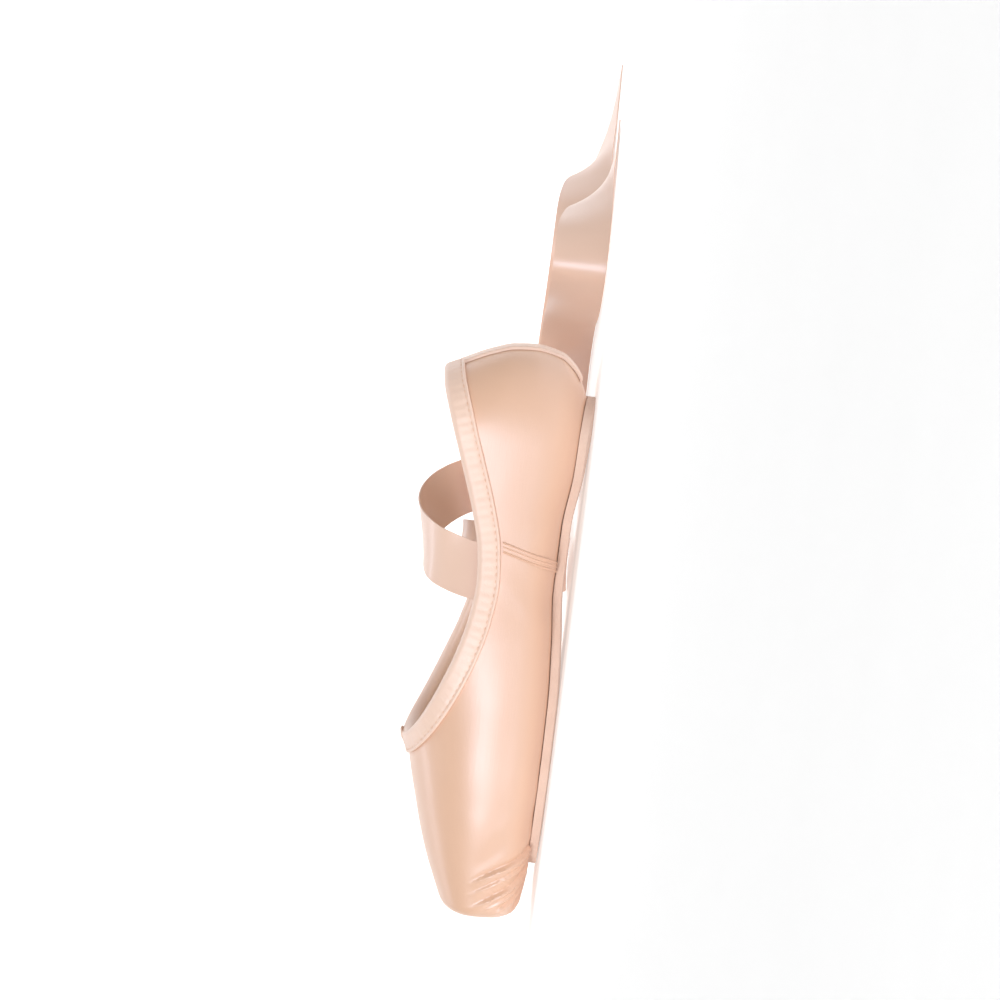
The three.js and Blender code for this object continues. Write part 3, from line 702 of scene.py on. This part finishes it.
def sole_half(back, margin):
    """Half the width of the sole, narrowed all round by the margin."""
    front = SOLE_FRONT + margin
    end = SOLE_BACK - margin
    from_tip = np.clip((back - front) / SOLE_TIP_ROUND, 0, 1)
    from_heel = np.clip((end - back) / SOLE_HEEL_ROUND, 0, 1)
    tip = (1 - (1 - from_tip) ** SOLE_POWER) ** (1 / SOLE_POWER)
    heel = (1 - (1 - from_heel) ** SOLE_POWER) ** (1 / SOLE_POWER)
    return (HALF_BALL * SOLE.read("half", back / SHOE_LENGTH) - margin) * tip * heel


def underside(back, across, inner):
    """Height of the last's underside."""
    high = widest_at(back)
    start = np.stack(np.broadcast_arrays(back, across, high), axis=-1).astype(float)
    return high - cast_from(start, np.array([0.0, 0.0, -1.0]), inner, 40)


def plate_mesh(name, margin, along, across, top_of, bottom_of, materials):
    """A plate of the sole's outline between two surfaces."""
    front = SOLE_FRONT + margin
    end = SOLE_BACK - margin
    share = np.arange(along + 1) / along
    back = front + (end - front) * (0.35 * share + 0.65 * (1 - np.cos(share * math.pi)) / 2)
    half = sole_half(back, margin)
    # the ends are a hair wide, so that no face there is without area
    half[0] = half[-1] = 0.02
    side = np.sin((np.arange(across + 1) / across - 0.5) * math.pi)
    x = np.repeat(back[:, None], across + 1, axis=1)
    y = half[:, None] * side[None, :]
    top = np.stack([x, y, top_of(x, y)], axis=-1)
    bottom = np.stack([x, y, bottom_of(x, y)], axis=-1)
    return sheet_mesh(name, top, bottom, materials)


def cut(thing, cutter):
    """Takes the cutter out of a piece and deletes the cutter."""
    made = thing.modifiers.new("cut", "BOOLEAN")
    made.operation = "DIFFERENCE"
    made.solver = "MANIFOLD"
    made.object = cutter
    bpy.context.view_layer.update()
    graph = bpy.context.evaluated_depsgraph_get()
    mesh = bpy.data.meshes.new_from_object(thing.evaluated_get(graph))
    thing.modifiers.clear()
    thing.data = mesh
    bpy.data.objects.remove(cutter)


# Folds of the satin, with distances from the toe and round the section, in millimetres
TIP_FOLDS = [
    # height, width, then the way of the fold
    (1.40, 3.6, [(34, 21), (30, 30), (24, 39), (15, 48)]),
    (0.90, 1.8, [(31, 20), (26, 28.5), (19, 37), (10, 46)]),
    (1.35, 2.6, [(27, 18), (20, 26), (13, 34), (5, 43)]),
    (0.80, 1.5, [(25, 16), (18, 23.5), (11, 31), (4, 38)]),
    (1.05, 2.0, [(23, 13), (16, 20.5), (9, 27.5), (3, 35)]),
    (0.85, 1.9, [(22, 8.5), (14, 13), (7, 20), (2, 28)]),
    (0.60, 1.8, [(21, 4), (14, 6), (6, 10), (1, 16)]),
]
SIDE_PULLS = [
    # distance from the toe at the sole edge, slant, height, width
    (34, 0.9, 0.30, 2.6),
    (42, 1.1, -0.22, 3.0),
    (52, 1.2, 0.18, 4.0),
    (121, -0.8, 0.28, 4.0),
    (132, -0.7, -0.24, 4.5),
    (162, 0.8, 0.30, 4.5),
    (173, 0.9, -0.26, 5.0),
]


# The groove beside a fold: where the fold has dropped, and the groove's place and width
FOLD_DROP = 1.1
GROOVE_SHARE = 0.32
GROOVE_AT = 1.3
GROOVE_WIDTH = 0.9
# The tip folds reach this far from the toe and round the section
TIP_REACH = 45
TIP_GIRTH = 60
FAR_SHIFT = 1.3
# Height of the slow swell over the whole upper
SWELL = 0.07


def fold_height(back, girth, height, width, way):
    """Height of one fold, soft on one side of its way and dropping on the other."""
    t = np.linspace(0, 1, 40)[:, None]
    a, b, c, d = (np.array(spot, dtype=float) for spot in way)
    curve = (1 - t) ** 3 * a + 3 * t * (1 - t) ** 2 * b + 3 * t * t * (1 - t) * c + t ** 3 * d
    tangent = unit(np.gradient(curve, axis=0))
    best = np.full(back.shape, 1e9)
    signed = np.zeros(back.shape)
    where = np.zeros(back.shape)
    for i in range(len(curve)):
        dx = back - curve[i, 0]
        dy = girth - curve[i, 1]
        far = np.hypot(dx, dy)
        nearer = far < best
        best = np.where(nearer, far, best)
        across = dy * -tangent[i, 0] + dx * tangent[i, 1]
        signed = np.where(nearer, np.sign(across) * far, signed)
        where = np.where(nearer, t[i, 0], where)
    rise = np.exp(-(np.minimum(signed, 0) / width) ** 2)
    groove = GROOVE_SHARE * hill(GROOVE_AT, GROOVE_WIDTH, signed) * (signed > 0)
    drop = 1 - smooth(0, FOLD_DROP, signed) - groove
    ends = smooth(0, 0.15, where) * (1 - smooth(0.72, 1.0, where))
    return height * np.where(signed < 0, rise, drop) * ends


def folds(points, girth):
    """How far the satin stands off the last."""
    back, across, high = points[..., 0], points[..., 1], points[..., 2]
    result = np.zeros(back.shape)
    near_tip = (back < TIP_REACH) & (girth < TIP_GIRTH)
    spot_back, spot_girth = back[near_tip], girth[near_tip]
    # the far side has the same folds a little later
    shift = np.where(across[near_tip] > 0, FAR_SHIFT, 0.0)
    tip = np.zeros(spot_back.shape)
    for height, width, way in TIP_FOLDS:
        tip = tip + fold_height(spot_back + shift, spot_girth - shift, height, width, way)
    depth = spot_back - lean_at(spot_back, high[near_tip])
    result[near_tip] = tip * smooth(0.2, 2.8, depth)
    # the satin lies flat where the outsole covers it
    sole_side = sole_half(np.maximum(back, SOLE_FRONT + 2), 0)
    beside = np.clip(np.abs(across) - sole_side, 0, None)
    clear = np.hypot(np.clip(SOLE_FRONT - back, 0, None), beside)
    result = result * np.maximum(smooth(0.3, 3.2, clear), smooth(8, 12, high))
    side = np.abs(across) / half_at(back)
    for middle, slant, size, width in SIDE_PULLS:
        line = back - middle + slant * (high - 8)
        pull = size * hill(0, width, line)
        result = result + pull * smooth(0.5, 0.8, side) * hill(8, 13, high)
    # soft swell of cloth over the stiff box
    slow = np.sin(back / 9.5 + 0.12 * high) * np.sin(girth / 7.5 + back / 31)
    return result + SWELL * slow * smooth(8, 25, back)


# Upper
around = 340
upper = last_mesh(
    "satin_upper", False, around, around // 3, around // 9, 7, 10, SATIN,
    toe_rings=around // 4, change=folds,
)
hollow = last_mesh("cut_hollow", True, around // 3, around // 4, around // 10, 5, 0, LINING)
cut(upper, hollow)
cut(upper, collar_cutter(360))
opening = plate_mesh(
    "cut_opening", MARGIN_WIDTH, 70, 12,
    lambda x, y: underside(x, y, True) + 3, lambda x, y: 0 * x - 6, [LINING],
)
cut(upper, opening)
mesh = upper.data
mesh.materials.clear()
mesh.materials.append(SATIN)
mesh.materials.append(LINING)
centres = np.zeros(len(mesh.polygons) * 3)
mesh.polygons.foreach_get("center", centres)
centres = centres.reshape(-1, 3) * 1000 + (MIDDLE_BACK, 0, 0)
# a face is satin where the last ends within a millimetre outside it, and all round the toe
outside = inside_at(centres + outward_at(centres) * 1.0, False) < 0
outside |= centres[:, 0] < TOE_WALL - 1
mesh.polygons.foreach_set("material_index", np.where(outside, 0, 1).astype(np.int32))
mesh.polygons.foreach_set("use_smooth", [True] * len(mesh.polygons))
mesh.set_sharp_from_angle(angle=math.radians(42))
mesh.update()
finish_piece(upper, "upper")


# Outsole
def sole_top(x, y):
    return underside(x, y, False) - GAP


def sole_under(x, y):
    return np.maximum(0, sole_top(x, y) - SOLE_THICKNESS)


outsole = plate_mesh("leather_sole", 0, 150, 36, sole_top, sole_under, [SOLE_SKIN])
round_edges(outsole, 0.0007, 3)
finish_piece(outsole, "outsole")


# Insole
def insole_rest(x, y):
    return underside(x, y, True) + GAP


insole = plate_mesh(
    "insole_cover", 3, 130, 24,
    lambda x, y: insole_rest(x, y) + INSOLE_THICKNESS, insole_rest, [BOARD],
)
round_edges(insole, 0.0005, 2)
finish_piece(insole, "insole")
plug = plate_mesh(
    "insole_plug", MARGIN_WIDTH + GAP * 2, 90, 10,
    lambda x, y: insole_rest(x, y) + 0.2, lambda x, y: underside(x, y, False) + 0.05, [BOARD],
)
finish_piece(plug, None)


# Stitches, small rounded threads laid end to end
def stitches(name, places, ways, outs, length, radius):
    sides, rings = 6, 5
    points, faces = [], []
    turn = np.arange(sides) / sides * 2 * math.pi
    for place, way, out in zip(places, ways, outs):
        side = np.cross(out, way)
        base = len(points)
        for share in np.linspace(-1, 1, rings):
            thick = radius * math.sqrt(max(0.06, 1 - share * share))
            centre = place + way * share * length / 2 - out * radius * 0.8 * share * share
            for t in turn:
                points.append(centre + (side * math.cos(t) + out * math.sin(t)) * thick)
        faces += capped(grid_faces(rings, sides, base, round_columns=True), rings, sides, base)
    thing = mesh_object(name, points, faces, [THREAD], sharp=80)
    return finish_piece(thing, None)


# Collar casing
count = 520
line, along, outward, down, collar_length = collar_line(count)
where = np.arange(count) / count * collar_length
pucker = 0.10 * np.sin(where * 2 * math.pi / 3.3)
pucker = pucker + 0.08 * np.sin(where * 2 * math.pi / 7.1 + 1.3)
ring = []
# The casing's outside and inside: depth below the collar's edge, then height off the wall
CASING_OUTSIDE = [
    (7.5, 0.55), (7.42, 0.95), (7.1, 1.22), (6.75, 1.28), (6.4, 1.12), (6.0, 0.92), (5.6, 1.06),
    (5.1, 1.24), (4.3, 1.34), (3.4, 1.42), (2.5, 1.52), (1.6, 1.62), (0.8, 1.68), (0.2, 1.62),
]
CASING_INSIDE = [(0.8, 0.9), (2.0, 0.9), (3.5, 0.85), (4.6, 0.8), (5.0, 0.5)]
STITCH_DEPTH = 6.0
STITCH_LIFT = 1.08
STITCH_PITCH = 2.5
CASING_TOP = 1.75


def leg(depth, inner):
    """Points at a depth below the collar's edge, on the wall's outside or inside."""
    seat = seat_on(line + down * depth, outward, False)
    out = outward_at(seat)
    if inner:
        seat = seat_on(seat, out, True)
    return seat, out


for depth, lift in CASING_OUTSIDE:
    seat, out = leg(depth, False)
    share = 0.25 + 0.75 * hill(4.2, 2.6, depth)
    ring.append(seat + out * (lift + pucker * share)[:, None])
wall = np.linalg.norm(leg(0.3, False)[0] - leg(0.3, True)[0], axis=-1)
up = -down
for turn in np.radians([20, 45, 70, 90, 110, 135, 160]):
    centre = line + outward * ((0.4 - wall - INSIDE_GAP) / 2)[:, None]
    half_width = (wall + INSIDE_GAP + 0.4) / 2 + 1.0
    sideways = outward * (math.cos(turn) * half_width)[:, None]
    ring.append(centre + sideways + up * (math.sin(turn) * CASING_TOP))
for depth, lift in CASING_INSIDE:
    seat, out = leg(depth, True)
    ring.append(seat - out * (INSIDE_GAP + lift))
for depth in (5.0, 2.5, 0.2):
    seat, out = leg(depth, True)
    ring.append(seat - out * INSIDE_GAP)
ring.append(line + up * GAP - outward * (wall + INSIDE_GAP)[:, None])
ring.append(line + up * GAP + outward * GAP)
for depth in (0.3, 2.5, 5.0, 7.3):
    seat, out = leg(depth, False)
    ring.append(seat + out * GAP)
rings = np.stack(ring, axis=1)
size = rings.shape[1]
faces = grid_faces(count, size, round_columns=True)
for k in range(size):
    n = (k + 1) % size
    faces.append(((count - 1) * size + k, k, n, (count - 1) * size + n))
binding = mesh_object("collar_casing", rings.reshape(-1, 3), faces, [TAPE], sharp=60)
finish_piece(binding, "collar_binding")

number = int(collar_length / STITCH_PITCH)
marks = np.linspace(0, collar_length, number, endpoint=False)
seat, out = leg(STITCH_DEPTH, False)
track = seat + out * STITCH_LIFT
places = read_along(marks, np.append(where, collar_length), np.concatenate([track, track[:1]]))
nearest = np.clip((marks / collar_length * count).astype(int), 0, count - 1)
stitches("casing_stitches", places, along[nearest], out[nearest], 1.7, 0.2)


# Thin overlays on the outside of the last
def overlay_mesh(name, seats, lifts, materials):
    """A thin layer over the last, and the outward directions at its points."""
    outs = outward_at(seats)
    top = seats + outs * lifts[..., None]
    bottom = seats + outs * (GAP * 0.4)
    return sheet_mesh(name, top, bottom, materials, sharp=55), outs


strip_top = float(collar_high(SHOE_LENGTH)) - BINDING_WIDTH - STRIP_BELOW
high = np.linspace(strip_top, 0.115 * HEEL_HEIGHT, 90)[:, None]
across = np.linspace(-STRIP_WIDTH / 2, STRIP_WIDTH / 2, 25)[None, :]
start = np.stack(np.broadcast_arrays(HEEL_START + 0 * high, across, high), axis=-1)
reach = cast_from(start, np.array([1.0, 0.0, 0.0]), False, 60)
seats = start + reach[..., None] * np.array([1.0, 0.0, 0.0])
# a raised edge, a groove for the stitches and a thin border
share = np.abs(across) / (STRIP_WIDTH / 2)
relief = 0.82 + 0.18 * hill(0.9, 0.08, share) - 0.3 * hill(0.76, 0.06, share)
lifts = GAP + STRIP_THICKNESS * relief - 0.35 * smooth(0.96, 1.0, share)
strip, strip_outs = overlay_mesh("heel_tape", seats, lifts + 0 * high, [TAPE])
finish_piece(strip, "heel_strip")
# the two rows of stitches follow columns of the tape's own grid
for name, column in (("heel_stitches_a", 3), ("heel_stitches_b", 21)):
    track = seats[:, column] + strip_outs[:, column] * (GAP + STRIP_THICKNESS * 0.62)
    lengths = lengths_along(track)
    marks = np.arange(1.5, lengths[-1] - 1, 2.4)
    places = read_along(marks, lengths, track)
    ways = unit(read_along(marks, lengths, np.gradient(track, axis=0)))
    outs = unit(read_along(marks, lengths, strip_outs[:, column]))
    stitches(name, places, ways, outs, 1.6, 0.17)


def side_seam(name, node, side):
    """Folded seam with three ridges, from the casing down to the sole."""
    share = np.linspace(0, 1, 60)[:, None]
    width = np.linspace(-0.5, 0.5, 31)[None, :]
    back = SEAM_TOP - SEAM_LEAN * share + SEAM_WIDTH * width
    widest = widest_at(back)
    top = np.arctan2(collar_high(back) - BINDING_WIDTH - 1 - widest, half_at(back))
    low = np.arctan2(low_at(back) + 0.4 - widest, sole_half(back, 0) + 1.5)
    turn = top + (low - top) * share
    start = np.stack([back, 0 * back, widest], axis=-1)
    direction = np.stack([0 * turn, side * np.cos(turn), np.sin(turn)], axis=-1)
    seats = start + direction * cast_from(start, direction, False, 80)[..., None]
    ridges = hill(-0.36, 0.05, width) + 0.8 * hill(0.02, 0.05, width) + hill(0.38, 0.05, width)
    lifts = 0.28 + 0.42 * ridges - 0.12 * smooth(0.44, 0.5, np.abs(width)) + 0 * share
    thing, outs = overlay_mesh(name, seats, lifts, [SATIN])
    finish_piece(thing, node)


side_seam("near_seam", "side_seam_near", -1)
side_seam("far_seam", "side_seam_far", 1)


# Crossed ends of the casing at the throat
throat = int(np.argmin(line[:, 0]))
throat_place = line[throat]
throat_out = outward[throat]
throat_up = -down[throat]
throat_side = np.array([0.0, 1.0, 0.0])
TUCK_OFF = 1.5
TUCK_THICKNESS = 0.42


def tuck_band(points, faces, turn, shift, long, wide, lift):
    """Adds one rounded band that bows over the throat."""
    way = throat_side * math.cos(turn) + throat_up * math.sin(turn)
    cross = throat_up * math.cos(turn) - throat_side * math.sin(turn)
    base = len(points)
    steps, sides = 19, 10
    for i in range(steps):
        share = i / (steps - 1) * 2 - 1
        bow = 1 - share * share
        centre = throat_place + way * share * long / 2 + throat_up * shift
        centre = centre + throat_out * (TUCK_OFF + lift * bow)
        half = wide / 2 * (0.55 + 0.45 * math.sqrt(max(0, 1 - share ** 4)))
        for k in range(sides):
            t = k / sides * 2 * math.pi
            thick = throat_out * TUCK_THICKNESS * math.sin(t)
            points.append(centre + cross * half * math.cos(t) + thick)
    faces += capped(grid_faces(steps, sides, base, round_columns=True), steps, sides, base)


points, faces = [], []
tuck_band(points, faces, math.radians(32), -1.6, 9.5, 3.0, 0.35)
tuck_band(points, faces, math.radians(-32), -1.6, 9.5, 3.0, 0.75)
tuck_band(points, faces, 0, 0.5, 6.5, 2.2, 0.5)
tuck = mesh_object("throat_knot", points, faces, [TAPE], sharp=80)
finish_piece(tuck, "throat_tuck")


# Ribbons
def spline(values, tension):
    """Smooth way through points, centripetal where tension is None."""
    values = np.asarray(values, dtype=float)
    count = len(values)

    def at(t):
        where = (count - 1) * t
        i = min(int(where), count - 2)
        weight = where - i
        p1, p2 = values[i], values[i + 1]
        p0 = values[i - 1] if i > 0 else 2 * values[0] - values[1]
        p3 = values[i + 2] if i + 2 < count else 2 * values[-1] - values[-2]
        if tension is None:
            pairs = ((p0, p1), (p1, p2), (p2, p3))
            d0, d1, d2 = (np.sum((b - a) ** 2) ** 0.25 for a, b in pairs)
            t1 = ((p1 - p0) / d0 - (p2 - p0) / (d0 + d1) + (p2 - p1) / d1) * d1
            t2 = ((p2 - p1) / d1 - (p3 - p1) / (d1 + d2) + (p3 - p2) / d2) * d1
        else:
            t1, t2 = tension * (p2 - p0), tension * (p3 - p1)
        c2 = -3 * p1 + 3 * p2 - 2 * t1 - t2
        c3 = 2 * p1 - 2 * p2 + t1 + t2
        return p1 + t1 * weight + c2 * weight ** 2 + c3 * weight ** 3

    return at


# The sewn end of a ribbon: share of the throat height, then distance from the wall
SEWN_ROWS = ((0.26, 1.4), (0.42, 1.5), (0.57, 3.2))
# The box of stitches that holds it: its end along the ribbon and half its width
SEWN_LENGTH = 17.6
SEWN_HALF = 9.3
# The ribbon is smoothed and curled from the first distance, and fully from the second
FREE_FROM = 45
FREE_WHOLLY = 75
CURL = 0.55
LOWEST = 0.25


def settle(places, wide):
    """Squares the width to the way and lifts the ribbon onto the floor."""
    tangent = unit(np.gradient(places, axis=0))
    wide = unit(wide - tangent * np.sum(wide * tangent, axis=-1, keepdims=True))
    thick = unit(np.cross(tangent, wide))
    lowest = RIBBON_WIDTH / 2 * np.abs(wide[:, 2])
    lowest = lowest + RIBBON_THICKNESS / 2 * np.abs(thick[:, 2]) + LOWEST
    places = places.copy()
    places[:, 2] = np.maximum(places[:, 2], lowest)
    return places, wide, thick


def ribbon(name, node, rows, side):
    """One ribbon along its way, giving back its way and the direction of its width."""
    sewn_back = RIBBON_AT * SHOE_LENGTH
    spots, wides = [], []
    for share, inset in SEWN_ROWS:
        start = np.array([sewn_back, 0, share * THROAT_HEIGHT])
        reach = float(cast_from(start, np.array([0.0, side, 0.0]), True, 80))
        spots.append((sewn_back - HALF_LENGTH, side * (reach - inset), start[2]))
        wides.append((1, -side * 0.13, 0))
    for row in rows:
        spots.append((row[0] * SHOE_LENGTH, row[1] * BALL_WIDTH, row[2] * THROAT_HEIGHT))
        wides.append(row[3:])
    way, wide_way = spline(spots, None), spline(wides, 0.3)
    fine = np.linspace(0, 1, 1200)
    places = np.array([way(t) for t in fine])
    wide = np.array([wide_way(t) for t in fine])
    places, wide, thick = settle(places, wide)
    lengths = lengths_along(places)
    steps = int(lengths[-1] / (1.5))
    want = np.linspace(0, lengths[-1], steps)
    places = read_along(want, lengths, places)
    wide = read_along(want, lengths, wide)
    kernel = np.exp(-np.linspace(-2, 2, 2 * 9 + 1) ** 2)
    kernel /= kernel.sum()
    reach = len(kernel) // 2

    def blur(values):
        before = 2 * values[:1] - values[reach:0:-1]
        after = 2 * values[-1:] - values[-2:-reach - 2:-1]
        padded = np.concatenate([before, values, after])
        return np.stack([np.convolve(padded[:, k], kernel, "valid") for k in range(3)], axis=-1)

    # the sewn end stays where it is, and the rest is smoothed
    free = smooth(FREE_FROM, FREE_WHOLLY, want)[:, None]
    places = places * (1 - free) + blur(places) * free
    wide = blur(wide)
    places, wide, thick = settle(places, wide)
    profile = np.linspace(-1, 1, 15)
    edge = np.where(np.abs(profile) > 0.93, 1.5, 1.0)
    curl = CURL * np.sin(want / 47 + side)[:, None] * (profile ** 2 - 0.5)[None, :] * free
    rows_top, rows_bottom = [], []
    for k, at in enumerate(profile):
        centre = places + wide * at * RIBBON_WIDTH / 2 + thick * curl[:, k:k + 1]
        rows_top.append(centre + thick * RIBBON_THICKNESS / 2 * edge[k])
        rows_bottom.append(centre - thick * RIBBON_THICKNESS / 2 * edge[k])
    rings = np.stack(rows_top + rows_bottom[::-1], axis=1)
    rings[..., 2] = np.maximum(rings[..., 2], 0.02)
    rings[..., 0] += HALF_LENGTH
    size = rings.shape[1]
    faces = capped(grid_faces(steps, size, round_columns=True), steps, size)
    thing = mesh_object(name, rings.reshape(-1, 3), faces, [RIBBON], sharp=60)
    finish_piece(thing, node)
    path = places.copy()
    path[:, 0] += HALF_LENGTH
    path = metres(path)
    return places, wide


for name, node, rows, side in (
    ("ribbon_a", "ribbon_near", NEAR_RIBBON, -1),
    ("ribbon_b", "ribbon_far", FAR_RIBBON, 1),
):
    places, wide = ribbon(name, node, rows, side)
    track = places + (HALF_LENGTH, 0, 0)
    inward = np.array([0.0, -side, 0.0])
    marks, ways = [], []
    lengths = lengths_along(track)
    for along_it in np.arange(1.5, 18, 2.2):
        for at in (-SEWN_HALF, SEWN_HALF):
            marks.append(read_along(along_it, lengths, track + wide * at) + inward * GAP)
            ways.append(np.array([0.0, 0.0, 1.0]))
    for at in np.arange(-8.2, 8.3, 2.05):
        for along_it in (1.2, SEWN_LENGTH):
            marks.append(read_along(along_it, lengths, track + wide * at) + inward * GAP)
            ways.append(wide[3])
    stitches(name + "_stitches", marks, ways, [inward] * len(marks), 1.5, 0.18)


# Floor and backdrop in one smooth sweep, in metres
SWEEP_FRONT = -3.0
SWEEP_BACK = 3.4
SWEEP_ROUND = 1.2
SWEEP_HIGH = 5.0
SWEEP_HALF = 6.0
WHITE = (1, 1, 1, 1)


def sweep():
    profile = [(SWEEP_FRONT, 0.0)]
    for turn in np.linspace(0, math.pi / 2, 24):
        y = SWEEP_BACK - SWEEP_ROUND + SWEEP_ROUND * math.sin(turn)
        profile.append((y, SWEEP_ROUND - SWEEP_ROUND * math.cos(turn)))
    profile.append((SWEEP_BACK, SWEEP_HIGH))
    points = []
    for y, z in profile:
        for x in (-SWEEP_HALF, SWEEP_HALF):
            points.append((x, y, z))
    faces = [(2 * i, 2 * i + 1, 2 * i + 3, 2 * i + 2) for i in range(len(profile) - 1)]
    material = Shader("paper")
    material.set(Roughness=0.9, Specular_IOR_Level=0.1, Emission_Strength=0.3)
    material.body.inputs["Emission Color"].default_value = WHITE
    grain = material.ramp(material.noise(30, 3), 0.3, 0.7, 0, 1)
    colour = material.mix(grain, (0.92, 0.92, 0.92, 1), (0.90, 0.90, 0.90, 1))
    material.link(colour, material.body.inputs["Base Color"])
    thing = mesh_object("floor", points, faces, [material.material], sharp=60, already=True)


sweep()


def area_light(name, place, target, size, power):
    """A rectangular light aimed at a target, in metres, with its power in watts."""
    light = bpy.data.lights.new(name, "AREA")
    light.shape = "RECTANGLE"
    light.size, light.size_y = size
    light.energy = power
    thing = bpy.data.objects.new(name, light)
    thing.location = place
    thing.rotation_euler = (Vector(target) - Vector(place)).to_track_quat("-Z", "Y").to_euler()
    bpy.context.scene.collection.objects.link(thing)


area_light("key", (-1.0, -4.1, 1.15), (0, 0, 0.03), (3.4, 0.6), 106)
area_light("top", (0.0, 0.3, 2.6), (0, 0, 0), (3.0, 3.0), 10)
area_light("backdrop", (0.0, 1.0, 2.6), (0, 3.3, 0.6), (5.0, 1.0), 85)

world = bpy.data.worlds.new("studio")
bpy.context.scene.world = world
world.use_nodes = True
WORLD_STRENGTH = 0.25
background = world.node_tree.nodes["Background"]
background.inputs["Color"].default_value = WHITE
background.inputs["Strength"].default_value = WORLD_STRENGTH
bpy.context.scene.view_settings.view_transform = "Standard"

# The camera looks along the shoe's side from the floor and is rolled so that the toe points down
AZIMUTH = math.radians(10)
ELEVATION = math.radians(0.6)
ROLL = math.radians(90 - 7)
DISTANCE = 1.9
SENSOR = 36
VIEW_WIDTH = 0.4
target = Vector((0.045, 0.03, 0.032))
away = Vector((
    math.sin(AZIMUTH) * math.cos(ELEVATION),
    -math.cos(AZIMUTH) * math.cos(ELEVATION),
    math.sin(ELEVATION),
))
camera_data = bpy.data.cameras.new("view")
camera_data.sensor_width = SENSOR
camera_data.lens = SENSOR * DISTANCE / VIEW_WIDTH
camera = bpy.data.objects.new("view", camera_data)
bpy.context.scene.collection.objects.link(camera)
place = target + away * DISTANCE
level = away.to_track_quat("Z", "Y").to_matrix()
roll = Matrix.Rotation(-ROLL, 3, "Z")
camera.matrix_world = Matrix.Translation(place) @ (level @ roll).to_4x4()
bpy.context.scene.camera = camera
